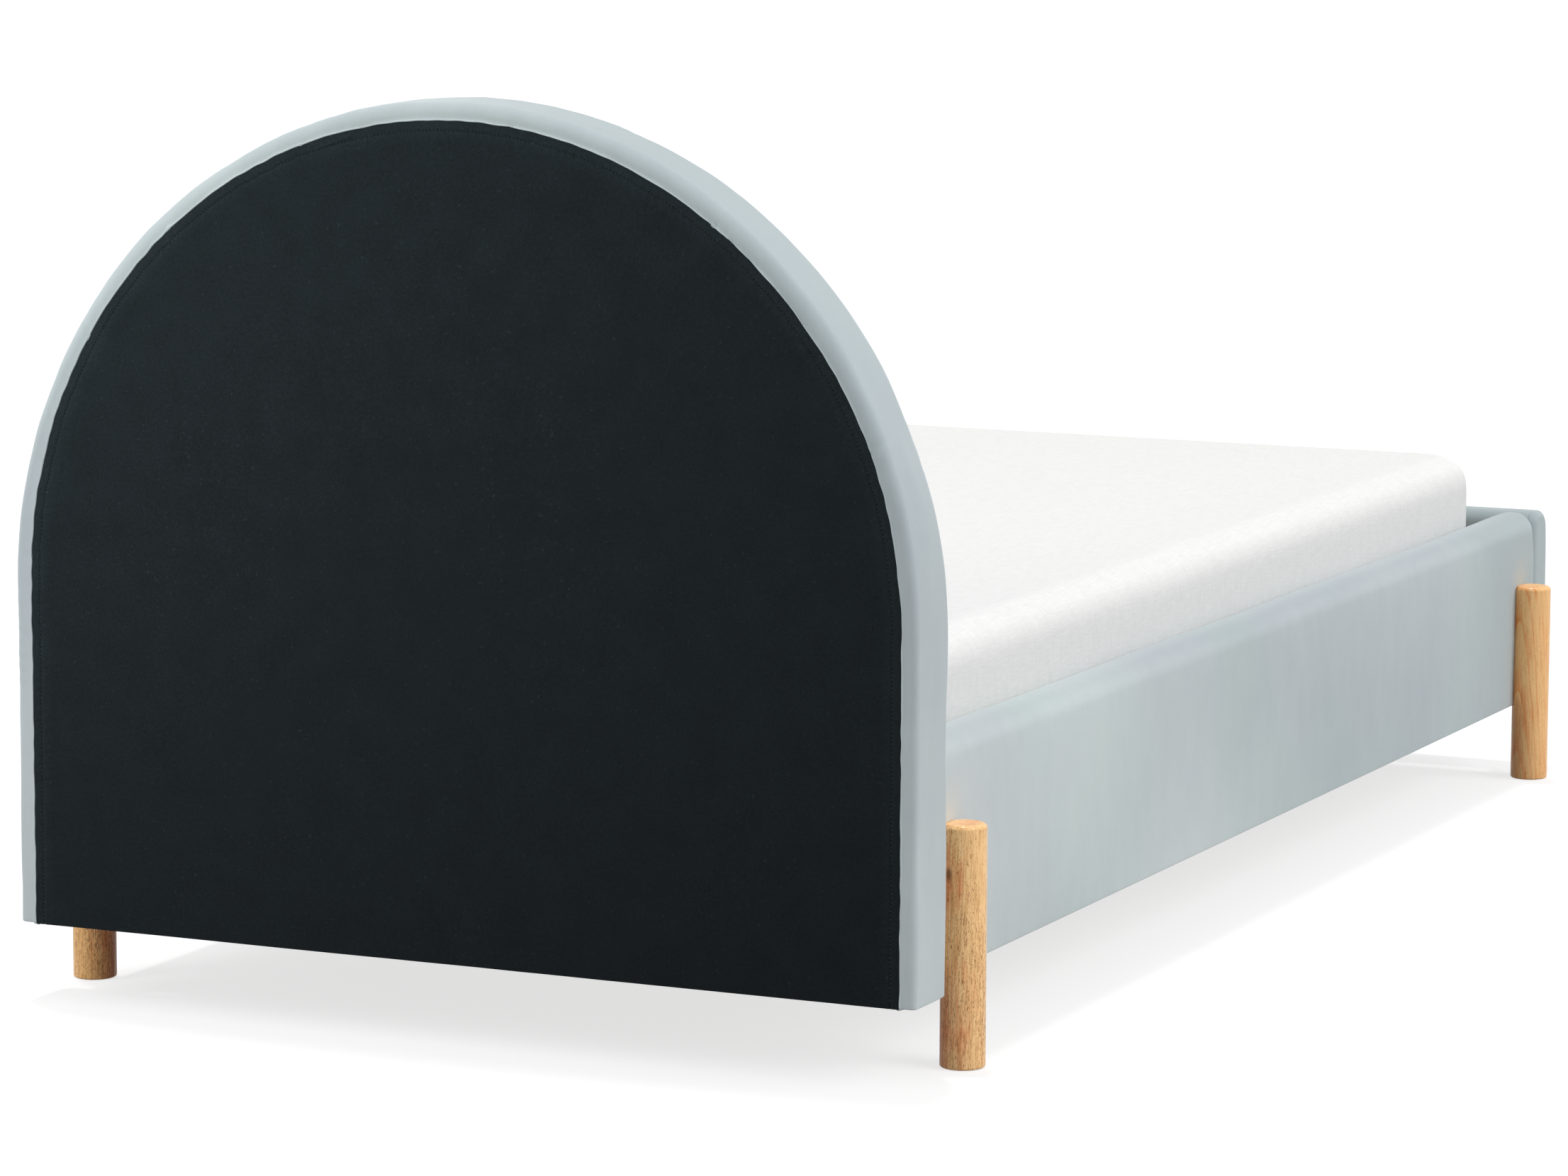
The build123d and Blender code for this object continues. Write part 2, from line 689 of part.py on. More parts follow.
webbing_low_y = slat_places[-1] - slat_width / 2 - webbing_past_slat
webbing_high_y = slat_places[0] + slat_width / 2 + webbing_past_slat
for side_name, side in sides.items():
    with BuildPart() as webbing:
        with Locations((side * webbing_x, (webbing_low_y + webbing_high_y) / 2, ledge_top)):
            Box(
                webbing_width,
                webbing_high_y - webbing_low_y,
                webbing_thickness,
                align=under_top,
            )
        with Locations(*((side * webbing_x, slat_y, ledge_top) for slat_y in slat_places)):
            Cylinder(
                webbing_screw_radius + fastener_clearance,
                webbing_thickness,
                align=under_top,
                mode=Mode.SUBTRACT,
            )
    save(webbing, f"{side_name}_slat_webbing")

with BuildPart() as webbing_screws:
    for x in webbing_places:
        for slat_y in slat_places:
            with Locations((x, slat_y, ledge_top - webbing_thickness)):
                Cylinder(webbing_screw_radius, webbing_thickness + webbing_screw_length, align=on_base)
                Cylinder(
                    webbing_screw_head_radius,
                    webbing_screw_head_height,
                    align=under_top,
                )
save(webbing_screws, "webbing_screws")

# Mattress
mattress_outside = mattress_body(0)
mattress_inside = mattress_body(mattress_cover_thickness)

with BuildPart() as mattress_cover:
    add(mattress_outside)
    add(mattress_inside, mode=Mode.SUBTRACT)
save(mattress_cover, "mattress_cover")

with BuildPart() as mattress_core:
    add(mattress_inside)
save(mattress_core, "mattress_core")
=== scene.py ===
"""Looks of the kids bed: velvet covers, stitched back cloth, ticking, lacquered legs, and a plain studio."""
import math
from functools import partial

import bmesh
import bpy
import numpy as np
from bpy.props import FloatProperty, FloatVectorProperty, IntProperty, PointerProperty
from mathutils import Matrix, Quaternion, Vector


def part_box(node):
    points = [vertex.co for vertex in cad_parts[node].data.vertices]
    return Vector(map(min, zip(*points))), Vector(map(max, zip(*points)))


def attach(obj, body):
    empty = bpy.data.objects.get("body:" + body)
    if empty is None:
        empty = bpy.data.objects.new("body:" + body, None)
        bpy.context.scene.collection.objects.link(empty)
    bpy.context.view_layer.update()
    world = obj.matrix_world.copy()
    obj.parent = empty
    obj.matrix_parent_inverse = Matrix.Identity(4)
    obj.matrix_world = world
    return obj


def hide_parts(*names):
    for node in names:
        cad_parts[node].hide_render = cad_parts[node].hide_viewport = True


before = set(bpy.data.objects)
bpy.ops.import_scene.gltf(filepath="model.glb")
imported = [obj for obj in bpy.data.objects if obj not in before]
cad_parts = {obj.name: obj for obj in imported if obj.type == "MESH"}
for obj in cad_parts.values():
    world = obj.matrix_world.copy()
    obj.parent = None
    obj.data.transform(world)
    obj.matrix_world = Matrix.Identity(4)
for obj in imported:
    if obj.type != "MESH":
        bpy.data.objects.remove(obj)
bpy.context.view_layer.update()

bl_info = {
    "name": "Kids Bed",
    "version": (1, 0, 0),
    "blender": (4, 5, 0),
    "location": "3D Viewport > Sidebar > Kids Bed",
    "description": "Upholstery, bedding, wood, metal and studio of a kids bed with an arched headboard",
    "category": "Object",
}

HEAD_LOW, HEAD_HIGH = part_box("headboard_cover")
RAIL_LOW, RAIL_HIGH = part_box("left_rail_cover")
FOOT_LOW, FOOT_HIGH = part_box("footboard_cover")
BED_LOW, BED_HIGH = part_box("mattress_cover")
HALF_WIDTH = HEAD_HIGH.x
WELD = 1e-5
MM = 0.001


def linear(code):
    """An sRGB colour such as A0B1C2 as linear red, green, blue and alpha."""
    parts = [int(code[i:i + 2], 16) / 255 for i in (0, 2, 4)]
    return [p / 12.92 if p <= 0.04045 else ((p + 0.055) / 1.055) ** 2.4 for p in parts] + [1.0]


def length(label, metres, description):
    return FloatProperty(name=label, description=description, default=metres, min=0, unit="LENGTH")


def colour(label, code, description):
    return FloatVectorProperty(
        name=label, description=description, default=linear(code), size=4, min=0, max=1, subtype="COLOR"
    )


class BedSizes(bpy.types.PropertyGroup):
    front_edge: length("Front edge", 0.018, "Radius of the headboard's front edge")
    back_edge: length("Back edge", 0.015, "Depth of the headboard's rounded back edge")
    back_width: length("Back edge width", 0.0172, "Width of that edge as seen from behind")
    cloth_inset: length("Cloth inset", 0.019, "From the headboard's outline to the back cloth's edge")
    stitch_inset: length("Stitch inset", 0.0102, "From the back cloth's edge to its row of stitches")
    stitch_pitch: length("Stitch pitch", 0.0044, "From one stitch to the next")
    velvet: length("Velvet", 0.0015, "Thickness of the velvet with its backing")
    cloth: length("Back cloth", 0.0008, "Thickness of the back cloth")
    rail_outer_edge: length("Outer top edge", 0.022, "Radius of the rails' outer top edge")
    rail_inner_edge: length("Inner top edge", 0.018, "Radius of the rails' inner top edge")
    rail_draw_in: length("Draw-in", 0.006, "How far the rails' outer face leans in at its top")
    rail_draw_height: length("Draw-in height", 0.075, "Height over which the outer face leans in")
    footboard_end: length("Footboard end", 0.009, "Radius of the edges round the footboard's ends")
    end_seam: length("End seam", 0.0125, "From the footboard's end face to the seam beside it")
    mattress_corner: length("Mattress corner", 0.068, "Radius of the mattress's corners from above")
    mattress_top_edge: length("Mattress top edge", 0.034, "Radius of the mattress's top edge")
    mattress_bottom_edge: length("Mattress bottom edge", 0.016, "Radius of its bottom edge")
    mattress_swell: length("Mattress swell", 0.005, "How far the filling may push the ticking out")
    webbing_sag: length("Webbing sag", 0.0015, "How far the webbing hangs between two slats")


class BedColours(bpy.types.PropertyGroup):
    velvet: colour("Velvet", "D0DADB", "Pile seen with the nap")
    # The cool colour is also the one that faces looking up are drawn towards, as painted shade
    velvet_cool: colour("Velvet, cool", "B2BDC3", "Pile brushed the other way")
    back_cloth: colour("Back cloth", "1C2326", "Woven cloth on the headboard's back")
    thread: colour("Thread", "343C3F", "Sewing thread on the back cloth")
    ticking: colour("Ticking", "EFEFEE", "Cotton and linen ticking")
    foam: colour("Foam", "E6DDB8", "Upholstery foam")
    webbing: colour("Webbing", "D8D2C2", "Cotton webbing")
    pine_light: colour("Pine, light", "E3C594", "Early wood of slats and boards")
    pine_dark: colour("Pine, dark", "C79A5E", "Late wood of slats and boards")


class BedStage(bpy.types.PropertyGroup):
    lens: FloatProperty(name="Lens", description="Focal length in mm", default=136.595, min=10)
    sky: FloatProperty(name="Sky", description="Strength of the even light", default=0.45, min=0)
    side_light: FloatProperty(
        name="Side light", description="Strength of the broad lamp", default=1.35, min=0
    )
    top_light: FloatProperty(name="Top light", description="Strength of the high lamp", default=1.15, min=0)
    left_light: FloatProperty(name="Left light", description="Power of the softbox in W", default=8.2, min=0)
    floor_glow: FloatProperty(
        name="Floor glow", description="Share of the floor's white that lies under its shadow", default=0.72
    )
    seed: IntProperty(name="Seed", description="Starts every random draw", default=7)


def ripples(seed, shortest, longest, *axes, count=12):
    """Sum of sines over the given coordinates, each with its own direction, phase and wavelength between
    shortest and longest, over the root of their count: an even, aimless unevenness of about -1 to 1."""
    random = np.random.default_rng(seed)
    total = 0.0
    for _ in range(count):
        wavelength = longest * (shortest / longest) ** random.random()
        direction = random.normal(size=len(axes))
        direction /= np.linalg.norm(direction)
        phase = random.uniform(0, 2 * np.pi)
        along = sum(d * a for d, a in zip(direction, axes))
        total = total + np.sin(2 * np.pi / wavelength * along + phase)
    return total / math.sqrt(count)


def ease(value):
    """0 below 0, 1 above 1, and the cubic 3v2 - 2v3 between."""
    value = np.clip(value, 0, 1)
    return value * value * (3 - 2 * value)


def grid_faces(rows, columns, closed=False):
    """Corner numbers of the quads of a grid of points; closed joins its last column to its first."""
    index = np.arange(rows * columns).reshape(rows, columns)
    if closed:
        index = np.concatenate([index, index[:, :1]], axis=1)
    quads = np.stack([index[:-1, :-1], index[1:, :-1], index[1:, 1:], index[:-1, 1:]], -1)
    return quads.reshape(-1, 4)


def read(items, field, width=1):
    """A mesh field of every vertex or face as an array with one row for each."""
    values = np.empty(len(items) * width)
    items.foreach_get(field, values)
    return values.reshape(-1, width)


def weld(mesh, inside, ends):
    """Merges points that fall together, fills open ends where asked, then turns every face away from the
    point inside."""
    shape = bmesh.new()
    shape.from_mesh(mesh)
    bmesh.ops.remove_doubles(shape, verts=shape.verts, dist=WELD)
    if ends:
        bmesh.ops.holes_fill(shape, edges=shape.edges, sides=0)
    bmesh.ops.recalc_face_normals(shape, faces=shape.faces)
    shape.to_mesh(mesh)
    shape.free()
    faces = mesh.polygons
    outward = ((read(faces, "center", 3) - np.array(inside)) * read(faces, "normal", 3)).sum(1)
    if outward @ read(faces, "area")[:, 0] < 0:
        mesh.flip_normals()
    mesh.shade_smooth()
    mesh.update()


def new_object(name, points, inside, closed=False, ends=False, faces=None, marks=None):
    """A welded, smooth object at the origin with its place in its mesh, from a grid of points or from points
    and faces; marks are values kept at its points."""
    if faces is None:
        faces = grid_faces(*points.shape[:2], closed)
    mesh = bpy.data.meshes.new(name)
    mesh.from_pydata(points.reshape(-1, 3).tolist(), [], faces.tolist())
    for label, values in (marks or {}).items():
        mesh.attributes.new(label, "FLOAT", "POINT").data.foreach_set("value", values.ravel())
    weld(mesh, inside, ends)
    piece = bpy.data.objects.new(name, mesh)
    bpy.context.scene.collection.objects.link(piece)
    return piece


def dress(piece, material, body, slot, *nodes):
    """Gives a piece its material and its body, and lets it stand for its CAD nodes. Its slot is not used."""
    piece.data.materials.clear()
    piece.data.materials.append(material)
    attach(piece, body)
    if nodes:
        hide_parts(*nodes)
    return piece


def thicken(piece, thickness):
    """Gives a sheet its wall, inwards from the surface that shows."""
    wall = piece.modifiers.new("wall", "SOLIDIFY")
    wall.thickness = thickness
    wall.offset = -1
    return piece


def rounded_path(corners, radii, steps, arc_steps=7):
    """Points round a closed polygon whose corners are arcs of the given radii, and whose straight run after
    each corner is cut into as many equal steps as steps says."""
    corners = np.array(corners, float)
    runs = []
    for index, (corner, radius) in enumerate(zip(corners, radii)):
        before = corners[index - 1] - corner
        after = corners[(index + 1) % len(corners)] - corner
        before /= np.linalg.norm(before)
        after /= np.linalg.norm(after)
        half = math.acos(np.clip(before @ after, -1, 1)) / 2
        reach = radius / math.tan(half)
        middle = corner + (before + after) / np.linalg.norm(before + after) * radius / math.sin(half)
        start = corner + before * reach - middle
        end = corner + after * reach - middle
        share = np.linspace(0, 1, arc_steps)[:, None]
        angle = np.pi - 2 * half
        arc = (np.sin((1 - share) * angle) * start + np.sin(share * angle) * end) / math.sin(angle)
        runs.append(middle + arc)
    path = []
    for index, run in enumerate(runs):
        following = runs[(index + 1) % len(runs)][0]
        share = np.linspace(0, 1, steps[index], endpoint=False)[1:, None]
        path += [run, run[-1] + (following - run[-1]) * share]
    return np.concatenate(path)


def arch_columns(bottom, spacing):
    """Stations round the headboard: up its left side, over the half circle and down its right side. Each has
    the height of its centre, its direction from there, and its travel along the outline."""
    spring = HEAD_HIGH.z - HALF_WIDTH
    side = np.linspace(bottom, spring, math.ceil((spring - bottom) / spacing), endpoint=False)
    turn = np.linspace(np.pi, 0, math.ceil(np.pi * HALF_WIDTH / spacing))
    centre = np.concatenate([side, np.full(len(turn), spring), side[::-1]])
    across = np.concatenate([-np.ones(len(side)), np.cos(turn), np.ones(len(side))])
    upward = np.concatenate([np.zeros(len(side)), np.sin(turn), np.zeros(len(side))])
    x = across * HALF_WIDTH
    z = centre + upward * HALF_WIDTH
    travel = np.concatenate([[0], np.cumsum(np.hypot(np.diff(x), np.diff(z)))])
    return centre, across, upward, travel


def arch_points(columns, inset, depth):
    """Points at an inset from the arched outline and a depth along Y, rows by columns."""
    centre, across, upward, _ = columns
    reach = HALF_WIDTH - inset
    return np.stack([across * reach, depth + 0 * reach, centre + upward * reach], -1)


def section_normals(inset, depth):
    """Outward direction along a section, as parts along the outline's own outward direction and along Y."""
    step_inset = np.gradient(inset, axis=0)
    step_depth = np.gradient(depth, axis=0)
    size = np.hypot(step_inset, step_depth) + 1e-12
    return step_depth / size, step_inset / size


def fold_under(points, outward, radius, floor, near, far):
    """Adds columns at both ends that carry a form's lower edge round a fold of the given radius and on under
    its bottom to the middle of its thickness, where both ends meet."""
    depth = (far - near) / 2
    turned = np.linspace(0, np.pi / 2, 5)[1:]
    ends = []
    for end in (0, -1):
        edge = points[:, end]
        away = outward[:, end]
        added = []
        for angle in turned:
            ring = edge - away * radius * (1 - math.cos(angle))
            ring[:, 2] = floor + radius * (1 - math.sin(angle))
            added.append(ring)
        last = added[-1]
        for inset in np.array([0.12, 0.3, 0.6, 1.0]) * depth:
            ring = last.copy()
            reach = HALF_WIDTH - inset
            ring[:, 0] = np.clip(ring[:, 0], -reach, reach)
            ring[:, 1] = np.clip(ring[:, 1], near + inset, far - inset)
            added.append(ring)
        ends.append(added)
    left = np.stack(ends[0][::-1], 1)
    right = np.stack(ends[1], 1)
    return np.concatenate([left, points, right], axis=1)


def cloth_edge(columns, sizes, seed):
    """The back cloth's hand-laid edge: its inset from the outline, a little more on the right side than on
    the left, least at the left shoulder, and wandering by half a millimetre."""
    _, across, _, travel = columns
    shoulder = np.exp(-(((np.degrees(np.arccos(across)) - 157) / 11) ** 2))
    drawn = 0.0004 + 0.0009 * across - 0.0006 * (across < 0) * across ** 2 - 0.0018 * shoulder
    near = 0.0004 * ripples(seed, 0.055, 0.14, travel) + 0.00022 * ripples(seed + 1, 0.02, 0.04, travel)
    return sizes.cloth_inset + drawn + near


def crease(points, start, end, width, depth):
    """A fold along the straight line between two places of the XZ plane: a bell curve across it, fading
    towards its end."""
    start = np.array(start)
    run = np.array(end) - start
    flat = points[..., [0, 2]] - start
    share = np.clip(flat @ run / (run @ run), 0, 1)
    apart = np.linalg.norm(flat - share[..., None] * run, axis=-1)
    return depth * np.exp(-((apart / width) ** 2)) * (1 - 0.7 * share)


def on_arch(degrees, radius):
    """Place in the XZ plane at an angle from +X about the arch's centre."""
    angle = math.radians(degrees)
    return radius * math.cos(angle), HEAD_HIGH.z - HALF_WIDTH + radius * math.sin(angle)


def headboard_section(sizes, width, deep):
    """Section of the headboard's pad from the middle of its front to where its back lies flat: a front face
    that sinks towards its rim, a quarter round, a side with a slight belly, and a quarter of an ellipse of
    the given width and depth. Gives the inset from the outline and the place along Y, one column for each
    width."""
    front = HEAD_LOW.y
    back = HEAD_HIGH.y
    sink = 0.0025
    sink_reach = 0.05
    belly = 0.0006
    quarter = np.linspace(0, np.pi / 2, 10)
    share = np.linspace(0, 1, 15, endpoint=False)
    face = sizes.front_edge + (HALF_WIDTH - sizes.front_edge) * (1 - share) ** 1.5
    face_depth = front + sink * np.exp(-(face - sizes.front_edge) / sink_reach)
    round_inset = sizes.front_edge * (1 - np.sin(quarter))
    round_depth = front + sink + sizes.front_edge * (1 - np.cos(quarter))
    side = np.linspace(0, 1, 9)[1:-1]
    side_depth = round_depth[-1] + (back - deep - round_depth[-1]) * side[:, None]
    side_inset = -belly * np.sin(np.pi * side)
    back_depth = back - deep + deep * np.sin(quarter)[:, None]
    count = len(width)
    plain = np.repeat(np.concatenate([face, round_inset, side_inset])[:, None], count, 1)
    inset = np.concatenate([plain, width * (1 - np.cos(quarter))[:, None]])
    front_depth = np.repeat(np.concatenate([face_depth, round_depth])[:, None], count, 1)
    return inset, np.concatenate([front_depth, side_depth, back_depth])


def back_edge_form(columns, sizes):
    """Width and depth of the rounded back edge: full over the top of the arch and its left half, a little
    shallower on its right half, and narrow and shallow down the straight sides."""
    _, across, upward, _ = columns
    narrower = 0.0098
    shallower = 0.0088
    straight = 1 - ease(upward / 0.75)
    pulled = np.maximum(straight, 0.25 * ease((0.1 - across) / 0.5))
    return sizes.back_width - narrower * straight, sizes.back_edge - shallower * pulled


def headboard_velvet(sizes, seed):
    """The pad's section, then a narrow border that rises to a lip and dips under the back cloth, carried
    along the arched outline. Ripples, puckers and small tucks move it along its own normal."""
    fold = 0.002
    floor = HEAD_LOW.z - 0.001
    front = HEAD_LOW.y
    back = HEAD_HIGH.y
    spacing = 0.0031
    under_depth = 0.0013
    tuck_width = 0.0024
    columns = arch_columns(floor + fold, spacing)
    _, across, upward, travel = columns
    edge = cloth_edge(columns, sizes, seed)
    width, deep = back_edge_form(columns, sizes)
    inset, depth = headboard_section(sizes, width, deep)
    lip_height = np.array([0.06, 0.3, 0.7, 1.05, 1.2, 1.0, 0.2, -1.2]) * MM
    lip_place = np.array([2.3, 1.75, 1.25, 0.85, 0.5, 0.15, -0.1, -0.3]) * MM
    lip = np.maximum(edge - lip_place[:, None], width + np.linspace(0.0001, 0.0008, 8)[:, None])
    under = edge + np.array([0.008, 0.026])[:, None]
    hidden = np.full_like(under, back - under_depth)
    inset = np.concatenate([inset, lip, under])
    depth = np.concatenate([depth, back + np.repeat(lip_height[:, None], len(travel), 1), hidden])
    points = arch_points(columns, inset, depth)
    away, along = section_normals(inset, depth)
    outward = np.stack([across * away, along, upward * away], -1)
    x, y, z = np.moveaxis(points, -1, 0)
    low = ease((z - floor - fold) / 0.05)
    shown = ease((edge - inset) / 0.004)
    swell = 0.0007 * ripples(seed + 2, 0.09, 0.4, x, y, z) + 0.00025 * ripples(seed + 3, 0.03, 0.08, x, y, z)
    round_edge = np.exp(-((inset - 0.008) / 0.011) ** 2)
    pull = 0.00026 * ripples(seed + 4, 0.012, 0.03, travel + 0.3 * y) * round_edge
    move = (swell + pull * ease(ripples(seed + 5, 0.15, 0.4, travel))) * low * shown
    # Tucks of 7 to 11 mm run out from the cloth's edge
    at_back = ease((y - back + 0.02) / 0.01)
    radius = HALF_WIDTH - sizes.cloth_inset
    for angle, reach, rise in (
        (14.9, 0.010, -0.0013), (31.6, 0.011, -0.0015), (49.1, 0.009, 0.0010), (70.1, 0.009, 0.0009),
        (126.0, 0.009, -0.0011), (98.0, 0.007, -0.0008), (3.0, 0.007, -0.0008), (158.0, 0.008, -0.0008),
    ):
        tuck = crease(points, on_arch(angle, radius), on_arch(angle + 0.5, radius + reach), tuck_width, rise)
        move = move + at_back * tuck
    points = fold_under(points + outward * move[..., None], outward, fold, floor, front, back)
    piece = new_object("headboard_velvet", points, (0, (front + back) / 2, 0.5))
    return thicken(piece, sizes.velvet)


def headboard_foam(sizes):
    """The velvet's section moved inwards, and back along the boards and the rim that the foam is glued to, as
    one closed section along the arch with its two feet closed."""
    foot = HEAD_LOW.z + 0.0025
    spacing = 0.014
    end = 0.044
    clear = 0.0005
    rim = 0.0098
    rim_edge = 0.01
    rear = HEAD_HIGH.y - 0.0037
    columns = arch_columns(foot, spacing)
    inset, depth = headboard_section(sizes, np.array([sizes.back_width]), np.array([sizes.back_edge]))
    inset = np.append(inset, end)
    depth = np.append(depth, HEAD_HIGH.y)
    away, along = section_normals(inset, depth)
    gap = sizes.velvet + clear
    outer = np.column_stack([inset + gap * away, depth - gap * along])
    outer[0, 0] = HALF_WIDTH
    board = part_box("headboard_front_board")[0].y - 0.0002
    turn = np.linspace(0, np.pi / 2, 6)
    section = np.concatenate([
        outer,
        [(end, rear)],
        np.column_stack([rim + rim_edge * (1 - np.sin(turn)), rear - rim_edge * (1 - np.cos(turn))]),
        [(rim, board), (0.06, board), (HALF_WIDTH, board)],
    ])
    points = arch_points(columns, *(np.repeat(part[:, None], len(columns[3]), 1) for part in section.T))
    return new_object("headboard_foam_pad", points, (0, board + 0.02, 0.5), ends=True)


def headboard_cloth(sizes, seed):
    """Rings at growing distances from the cloth's wandering edge, each with a height above the velvet: a hem
    folded under, a groove along the stitches, and a slack middle. Puckers of 8 to 14 mm ride on the hem, and
    single folds run in from it. The rings close on the line down the headboard's middle."""
    fold = 0.0012
    floor = HEAD_LOW.z - 0.0018
    back = HEAD_HIGH.y
    spacing = 0.0024
    middle_height = 0.0003
    columns = arch_columns(floor + fold, spacing)
    travel = columns[3]
    edge = cloth_edge(columns, sizes, seed)
    rings = np.array([
        (2.6, -0.5), (0.9, -0.45), (0.2, -0.35), (0.0, -0.2), (0.15, 0.02), (0.6, 0.2), (1.4, 0.32),
        (3.0, 0.4), (5.0, 0.45), (7.2, 0.45), (8.6, 0.35), (9.5, -0.05), (10.2, -0.35), (10.9, -0.1),
        (11.9, 0.4), (13.4, 0.6), (15.5, 0.6), (18, 0.5), (21, 0.42), (26, 0.36), (32, 0.34), (40, 0.33),
        (50, 0.32), (62, 0.3),
    ]) * MM
    spread = np.linspace(0.078, HALF_WIDTH - sizes.cloth_inset, 18)
    gap = np.concatenate([rings[:, 0], spread])
    height = np.concatenate([rings[:, 1], np.full(len(spread), middle_height)])
    share = gap / gap[-1]
    inset = edge + gap[:, None] + (sizes.cloth_inset - edge) * share[:, None]
    points = arch_points(columns, inset, back + np.repeat(height[:, None], len(travel), 1))
    x, _, z = np.moveaxis(points, -1, 0)
    gap = gap[:, None] + 0 * inset
    beside = np.exp(-(((gap - sizes.stitch_inset) / 0.008) ** 2))
    inner = np.exp(-(((gap - 0.02) / 0.012) ** 2))
    pucker = 0.00028 * ripples(seed + 6, 0.008, 0.014, travel + 0.15 * gap) * beside
    pucker = pucker + 0.00026 * ripples(seed + 7, 0.009, 0.02, travel + 0.4 * gap) * inner
    slack = 0.0007 * (ripples(seed + 8, 0.22, 0.6, x, z) - 0.6) * ease(gap / 0.2)
    soft = 0.00022 * ripples(seed + 9, 0.03, 0.09, x, z) * ease(gap / 0.03)
    move = pucker + slack + soft
    # Each fold: degrees and radius where it starts and ends, half its width, its rise
    for start, end, width, rise in (
        ((145.6, 0.5075), (143.2, 0.490), 0.0028, -0.0008),
        ((144.4, 0.502), (141.5, 0.468), 0.0036, 0.0018),
        ((143.0, 0.500), (141.0, 0.470), 0.003, -0.0006),
        ((77.8, 0.5085), (72.6, 0.5035), 0.0022, -0.0009),
        ((77.0, 0.5055), (72.0, 0.5000), 0.0024, 0.0022),
        ((76.0, 0.5015), (71.4, 0.497), 0.0024, -0.0005),
        ((59.0, 0.505), (58.0, 0.478), 0.003, -0.0004),
        ((101.0, 0.505), (102.0, 0.482), 0.003, -0.0004),
        ((121.0, 0.507), (119.5, 0.485), 0.003, 0.0004),
        ((36.0, 0.505), (37.5, 0.476), 0.004, -0.0005),
        ((163.0, 0.506), (162.0, 0.474), 0.004, 0.0004),
        ((18.0, 0.506), (18.5, 0.480), 0.004, -0.0004),
    ):
        move += crease(points, on_arch(*start), on_arch(*end), width, rise)
    points[..., 1] += move * ease(gap / 0.0012)
    outward = np.zeros_like(points)
    outward[..., 1] = 1
    points = fold_under(points, outward, fold, floor, HEAD_LOW.y, back + 0.001)
    extra = (points.shape[1] - gap.shape[1]) // 2
    gap = np.pad(gap, ((0, 0), (extra, extra)), "edge")
    middle = (0, (HEAD_LOW.y + back) / 2, 0.4)
    return thicken(new_object("headboard_cloth", points, middle, marks={"from_edge": gap}), sizes.cloth)


def cloth_stitches(sizes, seed):
    """One small spindle of thread for each stitch: a hexagon carried along a line, its radius growing and
    shrinking as a half sine, repeated at even travel along the row and slanted a little."""
    stitch = 0.0028
    thread_radius = 0.0004
    sunk = 0.00008
    foot = HEAD_LOW.z + 0.003
    spacing = 0.001
    columns = arch_columns(foot, spacing)
    inset = cloth_edge(columns, sizes, seed) + sizes.stitch_inset
    row = arch_points(columns, inset, np.full_like(inset, HEAD_HIGH.y - sunk))
    run = np.concatenate([[0], np.cumsum(np.linalg.norm(np.diff(row, axis=0), axis=1))])
    places = np.arange(sizes.stitch_pitch, run[-1], sizes.stitch_pitch)
    at = np.stack([np.interp(places, run, row[:, axis]) for axis in range(3)], -1)
    ahead = np.stack([np.interp(places + 0.001, run, row[:, axis]) for axis in range(3)], -1) - at
    ahead /= np.linalg.norm(ahead, axis=1, keepdims=True) + 1e-12
    sideways = np.cross(ahead, (0, 1, 0))
    random = np.random.default_rng(seed + 20)
    slant = 0.1 + 0.06 * random.normal(size=len(at))[:, None]
    ahead = ahead + sideways * slant
    share = np.linspace(0, 1, 6)
    spin = np.linspace(0, 2 * np.pi, 6, endpoint=False)
    radius = thread_radius * np.sin(np.pi * share) ** 0.6
    along = (share - 0.5) * stitch
    sink = -0.0006 * (2 * share - 1) ** 2
    wide = radius[:, None] * np.cos(spin)
    high = radius[:, None] * np.sin(spin) * 0.8 + sink[:, None]
    points = (
        at[:, None, None]
        + ahead[:, None, None] * along[:, None, None]
        + sideways[:, None, None] * wide[..., None]
        + np.array([0, 1, 0]) * high[..., None]
    )
    single = grid_faces(len(share), len(spin), closed=True)
    faces = (single + len(share) * len(spin) * np.arange(len(at))[:, None, None]).reshape(-1, 4)
    return new_object("headboard_stitches", points, (0, HEAD_HIGH.y, 0.5), faces=faces)


def lean_in(sizes, path, high, side, rear, face):
    """Moves the outer part of a section inwards, by the square of its height above where the lean starts."""
    lean = np.clip((path[:, 1] - high + sizes.rail_draw_height) / sizes.rail_draw_height, 0, 1) ** 2
    path[:, 0] -= side * sizes.rail_draw_in * lean * ease((path[:, 0] - rear) / (face - rear))
    return path


def pad_section(sizes, outer, inner, low, high, inset):
    """Section shared by the rails and the footboard: a box with rounded edges whose outer face leans in."""
    side = 1 if outer > inner else -1
    face = outer - side * inset
    rear = inner + side * inset
    tight = 0.003 - min(inset, 0.002)
    corners = [(rear, low + inset), (face, low + inset), (face, high - inset), (rear, high - inset)]
    radii = [tight, tight, sizes.rail_outer_edge - inset, sizes.rail_inner_edge - inset]
    return lean_in(sizes, rounded_path(corners, radii, (9, 40, 3, 40)), high, side, rear, face)


def carried(rows):
    """Sections of across and up, each at its place along, as rows of points."""
    return np.stack([np.insert(section, 1, place, axis=1) for section, place in rows])


